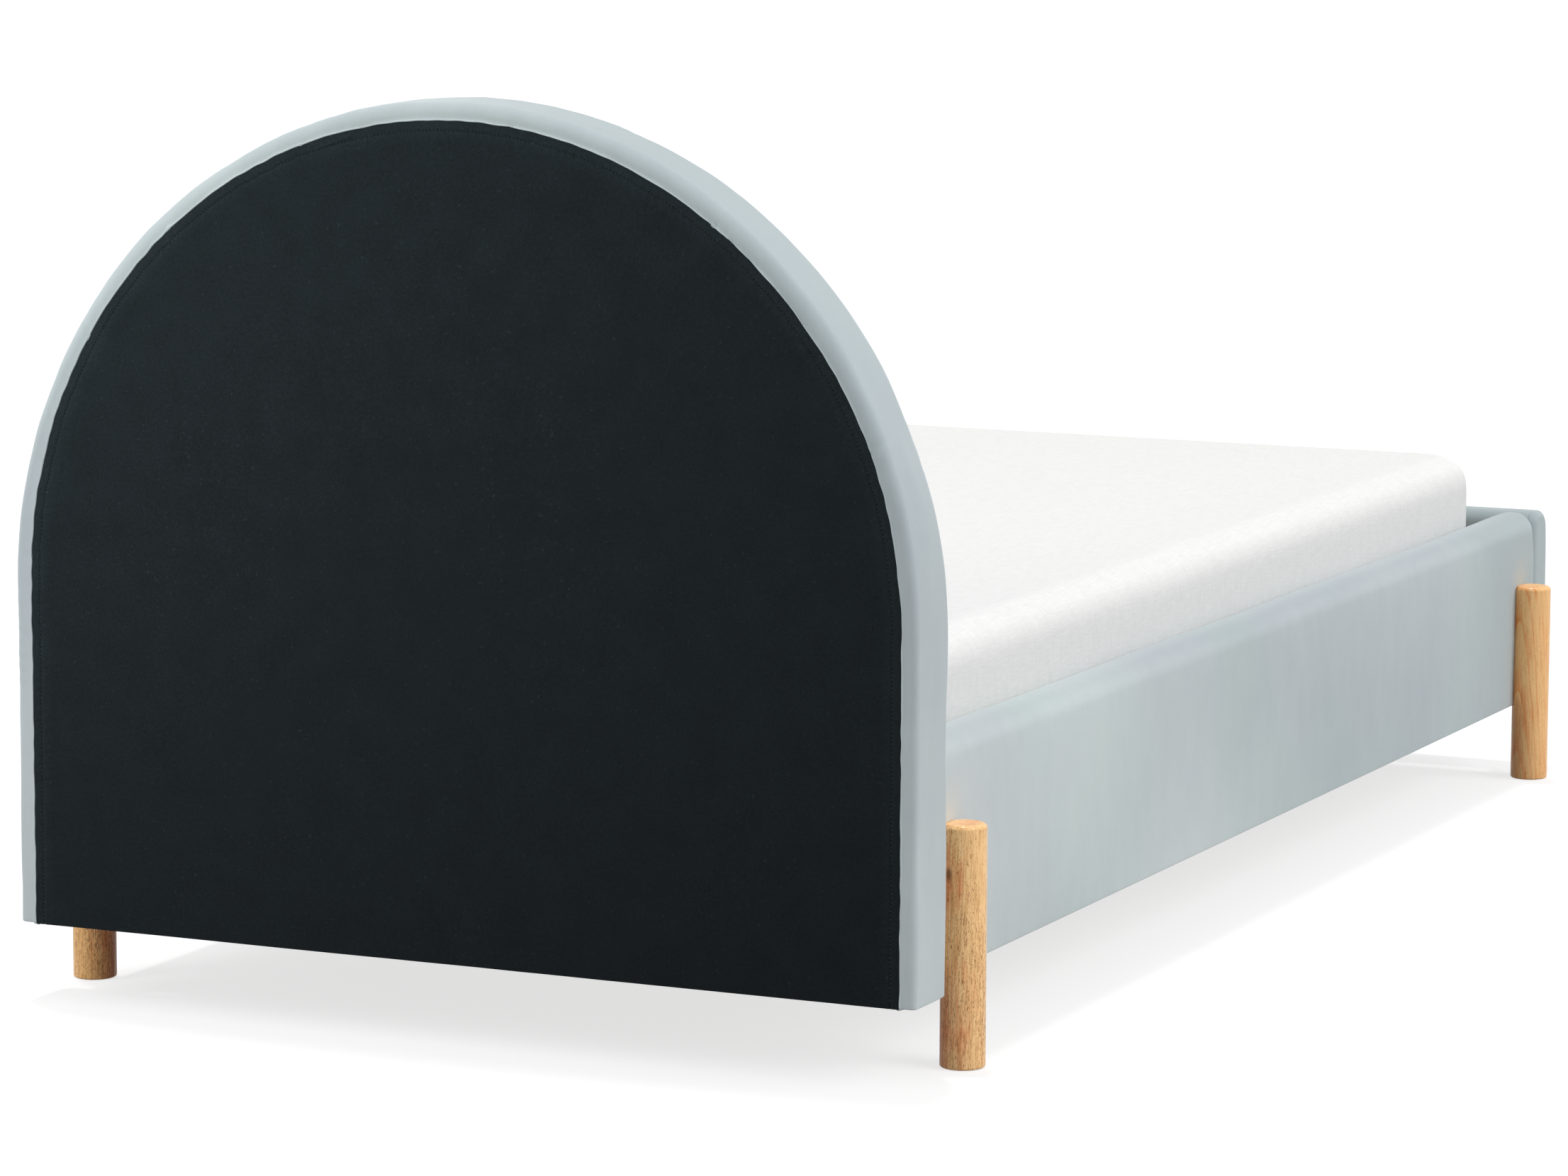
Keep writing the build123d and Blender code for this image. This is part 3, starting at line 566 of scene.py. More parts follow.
def padded_bar(sizes, outer, inner, low, high, start, end, end_radius, places, crown=0.0):
    """A section carried along a straight run, its two ends rounded by a quarter circle and closed to a pole.
    Gives rows of across, along and up."""
    turn = np.linspace(0, np.pi / 2, 6)
    insets = end_radius * (1 - np.sin(turn))
    travels = end_radius * (1 - np.cos(turn))
    full = pad_section(sizes, outer, inner, low, high, 0)
    cap = pad_section(sizes, outer, inner, low, high, insets[0])
    middle = full.mean(0)
    near = [(middle + (cap - middle) * share, crown * (share ** 2 - 1)) for share in (0.0, 0.35, 0.7, 0.9)]
    near += [(pad_section(sizes, outer, inner, low, high, i), travel) for i, travel in zip(insets, travels)]
    direction = 1 if end > start else -1
    rows = [(section, start + direction * travel) for section, travel in near]
    rows += [(full, place) for place in places]
    rows += [(section, end - direction * travel) for section, travel in near[::-1]]
    return carried(rows)


def bar_normals(points):
    """Outward directions on a bar's grid, from its neighbours along and round it."""
    along = np.gradient(points, axis=0)
    around = np.roll(points, -1, axis=1) - np.roll(points, 1, axis=1)
    normal = np.cross(around, along)
    normal /= np.linalg.norm(normal, axis=-1, keepdims=True) + 1e-12
    centre = points.mean(1, keepdims=True)
    middle = points.shape[0] // 2
    if ((points - centre)[middle] * normal[middle]).sum() < 0:
        normal = -normal
    return normal


def bar_foam(sizes, outer, inner, low, high, board_high, board_thick, start, end):
    """Foam over a board: the padded section less the board's own corner, carried straight. Gives rows of
    across, along and up."""
    gap = sizes.velvet + 0.0007
    clear = 0.0003
    side = 1 if outer > inner else -1
    face = outer - side * gap
    rear = inner + side * gap
    board = inner + side * (sizes.velvet + board_thick + clear)
    top = board_high + clear
    corners = [
        (board, low + gap), (face, low + gap), (face, high - gap), (rear, high - gap), (rear, top),
        (board, top),
    ]
    radii = [0.0015, 0.0015, sizes.rail_outer_edge, sizes.rail_inner_edge, 0.001, 0.001]
    path = lean_in(sizes, rounded_path(corners, radii, (4, 20, 3, 3, 4, 12), 6), high, side, board, face)
    return carried((path, place) for place in np.linspace(start, end, 12))


def rail_velvet(sizes, side, seed):
    """A padded bar along Y, with long shallow waves that die out towards its ends and its lower edge."""
    name = "left" if side < 0 else "right"
    end_radius = 0.0065
    margin = 0.012
    step = 0.02
    places = np.arange(HEAD_LOW.y - margin, FOOT_HIGH.y + margin, -step)
    points = padded_bar(
        sizes, side * abs(RAIL_LOW.x), side * abs(RAIL_HIGH.x), RAIL_LOW.z, RAIL_HIGH.z, HEAD_LOW.y,
        FOOT_HIGH.y, end_radius, places
    )
    x, y, z = np.moveaxis(points, -1, 0)
    body = ease((HEAD_LOW.y - y) / 0.03) * ease((y - FOOT_HIGH.y) / 0.03)
    upper = ease((z - RAIL_LOW.z - 0.01) / 0.06)
    wave = 0.0005 * ripples(seed, 0.25, 0.9, y, 0.6 * z) + 0.00012 * ripples(seed + 1, 0.05, 0.12, y, z, x)
    points = points + bar_normals(points) * (wave * body * upper)[..., None]
    piece = new_object(f"{name}_rail_velvet", points, (side * 0.478, 0, 0.22), closed=True)
    return thicken(piece, sizes.velvet)


def footboard_velvet(sizes, seed):
    """A padded bar along X, its end faces slightly crowned, with a sewn seam round it beside each end."""
    end = abs(FOOT_LOW.x)
    seam = end - sizes.end_seam
    seam_depth = 0.0009
    seam_width = 0.0009
    step = 0.018
    close = np.array([-4, -2.6, -1.7, -1.1, -0.6, 0, 0.6, 1.1, 1.7]) * MM
    between = np.arange(-seam + 0.01, seam - 0.008, step)
    places = np.concatenate([-seam - close[::-1], between, seam + close])
    bars = padded_bar(
        sizes, FOOT_LOW.y, FOOT_HIGH.y, FOOT_LOW.z, FOOT_HIGH.z, -end, end, sizes.footboard_end, places,
        crown=0.0006
    )
    points = bars[..., [1, 0, 2]]
    x, y, z = np.moveaxis(points, -1, 0)
    body = ease((end - np.abs(x)) / 0.04)
    upper = ease((z - FOOT_LOW.z - 0.01) / 0.06)
    wave = 0.0005 * ripples(seed, 0.2, 0.7, x, 0.6 * z) + 0.00012 * ripples(seed + 1, 0.05, 0.12, x, y, z)
    groove = -seam_depth * np.exp(-(((np.abs(x) - seam) / seam_width) ** 2))
    groove = groove * ease((z - FOOT_LOW.z) / 0.02)
    points = points + bar_normals(points) * (wave * body * upper + groove)[..., None]
    middle = (0, (FOOT_LOW.y + FOOT_HIGH.y) / 2, 0.22)
    return thicken(new_object("footboard_velvet", points, middle, closed=True), sizes.velvet)


def mattress_points(sizes, inset, steps):
    """A rounded box: a section from the middle of its underside, round its lower edge, up its side, round its
    upper edge to the middle of its top, carried round a rounded rectangle. Insets past the corner radius keep
    within the smaller rectangle, down to its middle line."""
    crown = 0.004
    half = np.array([BED_HIGH.x, (BED_HIGH.y - BED_LOW.y) / 2]) - inset
    centre_y = (BED_HIGH.y + BED_LOW.y) / 2
    corner = sizes.mattress_corner - inset
    low = BED_LOW.z + inset
    top = BED_HIGH.z - inset - crown
    lower = sizes.mattress_bottom_edge - inset
    upper = sizes.mattress_top_edge - inset
    quarter = np.linspace(0, np.pi / 2, 7)
    rows = [(d, low) for d in np.linspace(half[0], lower, 12)[:-1]]
    rows += [(lower * (1 - math.sin(a)), low + lower * (1 - math.cos(a))) for a in quarter]
    rows += [(0.0, low + lower + (top - upper - low - lower) * s) for s in np.linspace(0, 1, 8)[1:-1]]
    rows += [(upper * (1 - math.cos(a)), top - upper + upper * math.sin(a)) for a in quarter]
    across = np.linspace(half[0], upper, 12)[::-1][1:]
    rows += [(d, top + crown * ease((d - upper) / (half[0] * 0.67))) for d in across]
    signs = np.array([(-1, -1), (1, -1), (1, 1), (-1, 1)])
    outline = rounded_path(signs * half, [corner] * 4, steps, 9)
    hub = np.clip(outline, corner - half, half - corner)
    stack = []
    for d, z in rows:
        ring = hub + (outline - hub) * (1 - min(d, corner) / corner)
        ring = np.clip(ring, d - half, half - d)
        stack.append(np.column_stack([ring[:, 0], ring[:, 1] + centre_y, np.full(len(ring), z)]))
    return np.stack(stack)


def plump(piece, voxel, cap, floor):
    """Fills a soft form with air: even voxels, then a cloth under pressure for 20 frames. Each point keeps
    the part of its move along its first normal, between a fifth of cap inwards and cap outwards, and none
    goes below the floor that it lies on."""
    frames = 20
    scene = bpy.context.scene

    def applied():
        graph = bpy.context.evaluated_depsgraph_get()
        mesh = bpy.data.meshes.new_from_object(piece.evaluated_get(graph))
        piece.modifiers.clear()
        return mesh

    remesh = piece.modifiers.new("voxels", "REMESH")
    remesh.mode = "VOXEL"
    remesh.voxel_size = voxel
    mesh = applied()
    piece.data = mesh
    start = read(mesh.vertices, "co", 3)
    normal = read(mesh.vertices, "normal", 3)
    cloth = piece.modifiers.new("fill", "CLOTH")
    for key, value in {
        "quality": 4, "mass": 0.3, "tension_stiffness": 12, "compression_stiffness": 12, "shear_stiffness": 6,
        "bending_stiffness": 2, "use_pressure": True, "uniform_pressure_force": 4,
    }.items():
        setattr(cloth.settings, key, value)
    cloth.settings.effector_weights.gravity = 0
    cloth.point_cache.frame_start = 1
    cloth.point_cache.frame_end = frames
    for number in range(1, frames + 1):
        scene.frame_set(number)
    blown = applied()
    swell = ((read(blown.vertices, "co", 3) - start) * normal).sum(1)
    bpy.data.meshes.remove(blown)
    scene.frame_set(1)
    end = start + normal * np.clip(swell, -cap / 5, cap)[:, None]
    end[:, 2] = np.maximum(end[:, 2], floor)
    mesh.vertices.foreach_set("co", end.ravel())
    mesh.shade_smooth()
    mesh.update()


def webbing_band(sizes, name):
    """A flat band along Y under the slats; between two slats it hangs by a shallow sine."""
    low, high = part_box(name)
    boxes = [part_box(f"slat_{n:02d}") for n in range(1, 15)]
    width = boxes[0][1].y - boxes[0][0].y
    centres = np.array(sorted(box[0].y for box in boxes)) + width / 2
    along = np.linspace(low.y, high.y, 400)
    nearest = np.abs(along[:, None] - centres).min(1)
    pitch = centres[1] - centres[0]
    free = np.clip((nearest - width / 2) / (pitch / 2 - width / 2), 0, 1)
    sag = sizes.webbing_sag * np.sin(free * np.pi / 2) ** 2
    x, y = np.meshgrid(np.linspace(low.x, high.x, 7), along)
    edge = np.abs(x - (low.x + high.x) / 2) / ((high.x - low.x) / 2)
    clear = 0.0001
    curl = 0.0002
    z = high.z - clear - sag[:, None] - curl * edge ** 4
    piece = new_object(name + "_band", np.stack([x, y, z], -1), (0, 0, -1))
    return thicken(piece, high.z - low.z - 2 * clear)


def source(value):
    """The socket to link from: a node stands for the first output that it has in use."""
    if isinstance(value, bpy.types.Node):
        return next(socket for socket in value.outputs if socket.enabled)
    return value


def add_node(tree, kind, *values, **named):
    """Adds a node with its settings, which are the names in lower case. Its inputs take the values in their
    order, or by name with _ for a space; a value is a constant, or a node or socket to link from. MapRange
    takes its value, the range that this has and the range that it gets."""
    node = tree.nodes.new("ShaderNode" + kind)
    for key in [key for key in named if key[0].islower()]:
        setattr(node, key, named.pop(key))
    inputs = [socket for socket in node.inputs if socket.enabled]
    by_name = {socket.name.replace(" ", "_"): socket for socket in inputs}
    for socket, value in [*zip(inputs, values), *((by_name[key], named[key]) for key in named)]:
        if isinstance(value, (bpy.types.Node, bpy.types.NodeSocket)):
            tree.links.new(source(value), socket)
        else:
            socket.default_value = value
    return node


def emptied(owner):
    """Empties the node tree of a material or world, and gives the function that adds nodes to it."""
    owner.use_nodes = True
    owner.node_tree.nodes.clear()
    return partial(add_node, owner.node_tree)


def new_material(name, **finish):
    """A material with a Principled shader, whose constants finish gives by socket name; the function that
    adds its nodes; and the place on the piece."""
    material = bpy.data.materials.new(name)
    add = emptied(material)
    add("OutputMaterial", add("BsdfPrincipled", **finish))
    return material, add, add("TexCoord").outputs["Object"]


def surface(material, colour, height=None, strength=0.0, depth=0.0, rough=None, invert=False):
    """Links a material's colour, its roughness where given, and where a height is given a bump with its
    strength and its depth in metres."""
    tree = material.node_tree
    sockets = tree.nodes["Principled BSDF"].inputs
    tree.links.new(source(colour), sockets["Base Color"])
    if rough:
        tree.links.new(source(rough), sockets["Roughness"])
    if height:
        bump = add_node(tree, "Bump", Strength=strength, Distance=depth, Height=height, invert=invert)
        tree.links.new(source(bump), sockets["Normal"])
    return material


def velvet_finish(colours):
    """Polyester velvet, woven and brushed. The eye sees a pale bloom at grazing angles, slow drifts between a
    greener and a cooler grey where the nap lies differently, and fine streaks along the nap. Painted shade
    makes faces that look up cooler and darker, and the tops of the rails and footboard darker still."""
    material, add, place = new_material(
        "brushed_polyester_velvet", Roughness=0.9, Specular_IOR_Level=0.1, Sheen_Weight=0.65,
        Sheen_Roughness=0.62, Sheen_Tint=linear("E8ECEB")
    )
    # Drifts of the nap are 0.3 to 0.8 m long, smaller patches 25 to 60 mm
    drift = add("TexNoise", place, Scale=2.1, Detail=1.0, Roughness=0.4)
    drift = add("MapRange", drift, 0.32, 0.66)
    long_patch = add("Mapping", place, Scale=(30, 30, 13))
    patch = add("TexNoise", long_patch, Scale=1.0, Detail=2.0)
    patch = add("MapRange", patch, 0.35, 0.65, -0.06, 0.06)
    # The rails' pile was brushed from the foot to the head, so it turns paler that way; the pile of the
    # headboard stands
    along = add("SeparateXYZ", place)
    brushed = add("MapRange", along.outputs["Y"], -1.2, 0.7, -0.3, 0.5, interpolation_type="SMOOTHSTEP")
    standing = add("Math", along.outputs["Y"], HEAD_LOW.y - 0.001, operation="GREATER_THAN")
    brushed = add("Math", standing, -0.5, brushed, operation="MULTIPLY_ADD")
    nap_and_top_shade = add("Math", drift, 0.7, brushed, operation="MULTIPLY_ADD")
    facing = add("SeparateXYZ", add("TexCoord").outputs["Normal"])
    # Painted shade: faces that look up are drawn towards the cooler, darker colour
    upward = add("MapRange", facing.outputs["Z"], 0.1, 0.9, 0.0, -0.45)
    nap_and_top_shade = add("Math", nap_and_top_shade, upward, operation="ADD")
    nap_and_top_shade = add("Math", nap_and_top_shade, patch, operation="ADD", use_clamp=True)
    base = add("Mix", nap_and_top_shade, colours.velvet_cool, colours.velvet, data_type="RGBA")
    # Greener and more purple areas are 0.2 to 0.5 m across
    hue = add("TexNoise", place, Scale=3.1, Detail=1.0)
    hue = add("MapRange", hue, 0.4, 0.6)
    lower = add("MapRange", along.outputs["Z"], 0.45, 0.8, 0.75, 0.15)
    hue = add("Mix", standing, hue, lower)
    hue = add("Mix", hue, (0.976, 1.006, 0.984, 1), (1.003, 0.987, 1.006, 1), data_type="RGBA")
    base = add("VectorMath", base, hue, operation="MULTIPLY")
    # Nap streaks are about 4 mm wide and 25 mm long
    stretched = add("Mapping", place, Scale=(240, 240, 40))
    streak = add("TexNoise", stretched, Scale=1.0, Detail=3.0)
    streak = add("MapRange", streak, 0.25, 0.75, 0.985, 1.015)
    # Painted shade: faces that look up on the rails and footboard are up to an eighth darker; the streaks are
    # added in here
    off_headboard = add("Math", 1.0, standing, operation="SUBTRACT")
    streaks_and_top_shade = add("MapRange", facing.outputs["Z"], 0.1, 0.8, 0.0, -0.13)
    streaks_and_top_shade = add("Math", streaks_and_top_shade, off_headboard, streak, operation="MULTIPLY_ADD")
    final = add("VectorMath", base, streaks_and_top_shade, operation="SCALE")
    # The pile is under 0.1 mm; it is drawn at about 1 mm to show
    pile = add("TexNoise", place, Scale=900.0, Detail=2.0)
    return surface(material, final, pile, 0.35, 0.0002)


def back_cloth_finish(colours):
    """Twill-woven polyester lining, piece dyed. The eye sees a matte near-black green-blue with fine diagonal
    threads, mottled by its uneven yarn, and a few paler flecks. Painted shade darkens the row of stitches, a
    painted highlight pales the band where the puckers beside it stand up, and painted light makes it paler
    towards its top and towards +X."""
    material, add, place = new_material(
        "woven_polyester_lining", Roughness=0.92, Specular_IOR_Level=0.1, Sheen_Weight=0.05,
        Sheen_Roughness=0.5
    )
    # Twill lines are 0.5 mm apart in the cloth and drawn 1.7 mm apart to show
    turned = add("Mapping", place, Rotation=(0, 0.9, 0))
    twill = add(
        "TexWave", turned, Scale=185.0, Distortion=3.0, Detail=2.0, Detail_Scale=0.4, bands_direction="X"
    )
    yarn = add("TexNoise", place, Scale=330.0, Detail=3.0, Roughness=0.65)
    cloud = add("TexNoise", place, Scale=22.0, Detail=4.0)
    fleck = add("TexNoise", place, Scale=240.0, Detail=1.0)
    # Painted light and shade: paler towards the cloth's top and towards +X, darker towards its foot and
    # towards -X
    flat = add("VectorMath", place, (0.06, 0, 0.17), operation="DOT_PRODUCT")
    gap = add("Attribute", attribute_name="from_edge").outputs["Fac"]
    stitch_row = 0.0102
    # Painted shade along the row of stitches, where the cloth dips into its groove: 0.6 of the colour within
    # 0.3 mm of the row
    row = add("Math", gap, stitch_row, operation="SUBTRACT")
    row = add("Math", row, operation="ABSOLUTE")
    tones = [
        add("MapRange", yarn, 0.3, 0.7, 0.78, 1.24),
        add("MapRange", cloud, 0.3, 0.7, 0.9, 1.1),
        add("MapRange", fleck, 0.68, 0.78, 1.0, 1.9),
        add("MapRange", twill.outputs["Fac"], 0.0, 1.0, 0.88, 1.1),
        # Painted light and shade, from the gradient above
        add("MapRange", flat, 0.0, 0.16, 0.74, 1.45),
        # Painted shade in the stitch groove
        add("MapRange", row, 0.0003, 0.0011, 0.6, 1.0),
        # Painted highlight where the puckers stand up: 1.3 times paler within 11.5 mm of the edge, fading out
        # by 24 mm
        add("MapRange", gap, 0.0115, 0.024, 1.3, 1.0),
    ]
    shade = tones[0]
    for tone in tones[1:]:
        shade = add("Math", shade, tone, operation="MULTIPLY")
    final = add("VectorMath", colours.back_cloth[:3], shade, operation="SCALE")
    weave = add("Math", twill.outputs["Fac"], yarn, operation="ADD")
    return surface(material, final, weave, 0.5, 0.0003)


def thread_finish(colours):
    """Spun polyester sewing thread: matte, with a faint twist."""
    material, add, place = new_material("spun_polyester_thread", Roughness=0.7, Specular_IOR_Level=0.3)
    twist = add("TexNoise", place, Scale=1500.0, Detail=1.0)
    twist = add("MapRange", twist, 0.0, 1.0, 0.7, 1.3)
    final = add("VectorMath", colours.thread[:3], twist, operation="SCALE")
    return surface(material, final)


def ticking_finish(colours):
    """Cotton and linen ticking, plain woven from slub yarn. The eye sees a white with short thick threads
    that run both ways, paler and greyer by a few percent."""
    material, add, place = new_material(
        "slub_cotton_ticking", Roughness=0.9, Specular_IOR_Level=0.15, Sheen_Weight=0.05, Sheen_Roughness=0.6
    )
    split = add("SeparateXYZ", place)
    swapped = add("CombineXYZ", split.outputs["Y"], split.outputs["X"], split.outputs["Z"])
    facing = add("SeparateXYZ", add("TexCoord").outputs["Normal"])
    sideways = add("Math", facing.outputs["Y"], operation="ABSOLUTE")
    at_end = add("Math", sideways, 0.7, operation="GREATER_THAN")
    along = add("Mix", at_end, place, swapped, data_type="VECTOR")
    # Slub threads are about 1.3 mm thick and 15 to 30 mm long
    shades = []
    for scale in ((780, 42, 780), (42, 780, 42)):
        stretched = add("Mapping", along, Scale=scale)
        slub = add("TexNoise", stretched, Scale=1.0, Detail=2.0, Roughness=0.5)
        shades.append(add("MapRange", slub, 0.32, 0.68))
    both = add("Math", shades[0], shades[1], operation="ADD")
    tone = add("MapRange", both, 0.3, 1.7, 0.935, 1.03)
    final = add("VectorMath", colours.ticking[:3], tone, operation="SCALE")
    return surface(material, final, both, 0.2, 0.0003)


def foam_finish(colours):
    """Polyurethane foam, cut from a block: matte cream with fine open cells."""
    material, add, place = new_material("cut_polyurethane_foam", Roughness=1.0, Specular_IOR_Level=0.1)
    cells = add("TexVoronoi", place, Scale=700.0)
    shade = add("MapRange", cells, 0.0, 0.8, 0.86, 1.05)
    final = add("VectorMath", colours.foam[:3], shade, operation="SCALE")
    return surface(material, final, cells, 0.5, 0.0004)


def webbing_finish(colours):
    """Cotton webbing, plain woven: natural off-white with a herringbone of 1.5 mm ribs."""
    material, add, place = new_material("woven_cotton_webbing", Roughness=0.95, Specular_IOR_Level=0.15)
    ribs = add("TexWave", place, Scale=210.0, Distortion=0.6, bands_direction="X")
    picks = add("TexWave", place, Scale=260.0, Distortion=0.6, bands_direction="Y")
    weave = add("Math", ribs.outputs["Fac"], picks.outputs["Fac"], operation="MULTIPLY")
    shade = add("MapRange", weave, 0.0, 1.0, 0.84, 1.03)
    final = add("VectorMath", colours.webbing[:3], shade, operation="SCALE")
    return surface(material, final, weave, 0.5, 0.0003)


def leg_finish(name, light, dark, trunk, tilt, ring, wander, late, pores, heart, knot):
    """Rubberwood, turned and lacquered. The eye sees honey wood with rings round a trunk whose axis is trunk
    metres from the world's and tilted, so they show as arches or lines; fine fibres and open pores, short
    dark strokes along the grain; and a clear lacquer with a small sharp highlight. Painted shade darkens the
    side of each leg that a given direction points to, and painted light pales the other side."""
    material, add, place = new_material(
        name, Roughness=0.45, Coat_Weight=0.3, Coat_Roughness=0.09, Specular_IOR_Level=0.14
    )
    grain = add("Mapping", place, Location=trunk, Rotation=tilt)
    slow = add("Mapping", grain, Scale=(26, 26, 7))
    bend = add("TexNoise", slow, Scale=1.0, Detail=2.0)
    flat = add("VectorMath", grain, (1, 1, 0), operation="MULTIPLY")
    radius = add("VectorMath", flat, operation="LENGTH")
    count = add("Math", radius, 1 / ring, operation="MULTIPLY")
    phase = add("Math", bend, wander, count, operation="MULTIPLY_ADD")
    if knot:
        apart = add("VectorMath", place, knot, operation="SUBTRACT")
        apart = add("VectorMath", apart, (1, 1, 0.6), operation="MULTIPLY")
        apart = add("VectorMath", apart, operation="LENGTH")
        # The fibres swirl round the knot over about 12 mm
        near = add("MapRange", apart, 0.001, 0.013, 1.0, 0.0, interpolation_type="SMOOTHSTEP")
        phase = add("Math", near, 2.4, phase, operation="MULTIPLY_ADD")
    within = add("Math", phase, operation="FRACT")
    rings = add("Math", within, 2.6, operation="POWER")
    rings = add("Math", rings, late, operation="MULTIPLY")
    fine = add("Mapping", grain, Scale=(520, 520, 20))
    fibre = add("TexNoise", fine, Scale=1.0, Detail=4.0, Roughness=0.6)
    fibre = add("MapRange", fibre, 0.3, 0.7, -0.36, 0.44)
    tone = add("Math", rings, fibre, operation="ADD")
    # Slow changes of colour over 25 to 60 mm
    cloud = add("Mapping", place, Scale=(42, 42, 17))
    cloud = add("TexNoise", cloud, Scale=1.0, Detail=2.0)
    cloud = add("MapRange", cloud, 0.35, 0.65, -0.2, 0.2)
    tone = add("Math", tone, cloud, operation="ADD")
    # Painted shade and painted light: darker on the side of the leg that the direction points to, paler on
    # the other
    side = add("VectorMath", add("TexCoord").outputs["Normal"], heart, operation="DOT_PRODUCT")
    tone = add("Math", tone, side, operation="ADD")
    height = add("SeparateXYZ", place)
    low = add("MapRange", height.outputs["Z"], 0.0, 0.15, 0.12, 0.0, interpolation_type="SMOOTHSTEP")
    tone = add("Math", tone, low, operation="ADD", use_clamp=True)
    wood = add("Mix", tone, linear(light), linear(dark), data_type="RGBA")
    # Pores are 0.3 mm wide and 2 to 8 mm long, drawn 0.7 mm wide to show
    streaks = add("Mapping", grain, Scale=(1500, 1500, 140))
    pore = add("TexNoise", streaks, Scale=1.0, Detail=0.0, Distortion=1.8)
    where = add("TexNoise", slow, Scale=1.3, Detail=1.0)
    where = add("MapRange", where, 0.3, 0.7, 0.67, 0.56)
    rare = add("MapRange", height.outputs["Z"], 0.06, 0.22, -0.02, 0.05)
    where = add("Math", where, rare, operation="ADD")
    open_pore = add("Math", pore, where, operation="SUBTRACT")
    open_pore = add("MapRange", open_pore, 0.0, 0.07, 0.0, pores)
    # Dark fibre lines are 0.5 mm wide and 40 mm long, drawn 1.5 mm wide to show
    lines = add("Mapping", grain, Scale=(680, 680, 22))
    lines = add("TexNoise", lines, Scale=1.0, Detail=2.0)
    lines = add("MapRange", lines, 0.36, 0.6)
    deep = (1 - 0.12 * pores, 1 - 0.22 * pores, 1 - 0.38 * pores, 1)
    pale = (1 + 0.2 * pores, 1 + 0.2 * pores, 1 + 0.16 * pores, 1)
    lines = add("Mix", lines, deep, pale, data_type="RGBA")
    wood = add("VectorMath", wood, lines, operation="MULTIPLY")
    final = add("Mix", open_pore, wood, linear("84400F"), data_type="RGBA")
    if knot:
        heart = add("MapRange", apart, 0.0014, 0.006, 0.8, 0.0, interpolation_type="SMOOTHSTEP")
        final = add("Mix", heart, final, linear("7A4A28"), data_type="RGBA")
    return surface(material, final, open_pore, 0.2, 0.0001, invert=True)


def sawn_finish(colours, name, scale, layers):
    """Planed pine, or birch plywood where layers is the veneers' thickness in metres: early and late wood in
    lines along the grain, fine fibres, a dry matte surface."""
    material, add, place = new_material(name, Roughness=0.62, Specular_IOR_Level=0.3)
    stretched = add("Mapping", place, Scale=scale)
    figure = add("TexNoise", stretched, Scale=60.0, Detail=2.0, Distortion=0.8)
    lines = add("Math", figure, 9.0, operation="MULTIPLY")
    lines = add("Math", lines, operation="FRACT")
    fibre = add("TexNoise", stretched, Scale=700.0, Detail=3.0)
    tone = add("Math", lines, 0.5, operation="MULTIPLY")
    tone = add("Math", fibre, 0.45, tone, operation="MULTIPLY_ADD")
    wood = add("Mix", tone, colours.pine_light, colours.pine_dark, data_type="RGBA")
    if layers:
        across = add("SeparateXYZ", place)
        count = add("Math", across.outputs["Y"], 1 / (2 * layers), operation="MULTIPLY")
        ply = add("Math", count, operation="FRACT")
        dark = add("Math", ply, 0.5, operation="GREATER_THAN")
        shade = add("MapRange", dark, 0.0, 1.0, 1.0, 0.78)
        wood = add("VectorMath", wood, shade, operation="SCALE")
    return surface(material, wood, fibre, 0.2, 0.0002)


def zinc_finish():
    """Zinc-plated steel: bright grey, slightly brushed, with cloudy passivation."""
    material, add, place = new_material("zinc_plated_steel", Metallic=1.0)
    cloud = add("TexNoise", place, Scale=180.0, Detail=3.0)
    rough = add("MapRange", cloud, 0.0, 1.0, 0.24, 0.42)
    tint = add("Mix", cloud, linear("C4C8C8"), linear("D3D2C8"), data_type="RGBA")
    return surface(material, tint, rough=rough)


def grained_finish(name, rough, scale, detail, dark, light, strength, depth):
    """A dark, hard surface with a fine even grain that is paler where it stands up."""
    material, add, place = new_material(name, Roughness=rough)
    grain = add("TexNoise", place, Scale=scale, Detail=detail)
    tint = add("Mix", grain, linear(dark), linear(light), data_type="RGBA")
    return surface(material, tint, grain, strength, depth)


def finish_nodes(names, material):
    """Puts a material on CAD nodes whose shape is right as it is."""
    for name in names:
        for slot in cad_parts[name].material_slots:
            slot.material = material


def nodes_named(*words):
    """CAD nodes whose name holds one of the words."""
    return [name for name in sorted(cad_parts) if any(word in name for word in words)]


class KIDSBED_OT_headboard(bpy.types.Operator):
    """Makes the headboard's velvet and its stitched back cloth"""

    bl_idname = "kids_bed.headboard"
    bl_label = "Headboard"

    def execute(self, context):
        sizes = context.scene.kids_bed_sizes
        colours = context.scene.kids_bed_colours
        seed = context.scene.kids_bed_stage.seed
        velvet = velvet_finish(colours)
        cover = dress(headboard_velvet(sizes, seed), velvet, "frame", "velvet", "headboard_cover")
        cloth = dress(
            headboard_cloth(sizes, seed), back_cloth_finish(colours), "frame", "back_cloth",
            "headboard_back_cloth"
        )
        stitches = dress(cloth_stitches(sizes, seed), thread_finish(colours), "frame", "back_cloth")
        return {"FINISHED"}


class KIDSBED_OT_rails(bpy.types.Operator):
    """Makes the velvet of both side rails and of the footboard"""

    bl_idname = "kids_bed.rails"
    bl_label = "Rails and footboard"

    def execute(self, context):
        sizes = context.scene.kids_bed_sizes
        seed = context.scene.kids_bed_stage.seed
        velvet = bpy.data.materials["brushed_polyester_velvet"]
        for side, name in ((-1, "left"), (1, "right")):
            rail = dress(
                rail_velvet(sizes, side, seed + 30 + side), velvet, "frame", "velvet", f"{name}_rail_cover"
            )
        foot = dress(footboard_velvet(sizes, seed + 40), velvet, "frame", "velvet", "footboard_cover")
        return {"FINISHED"}


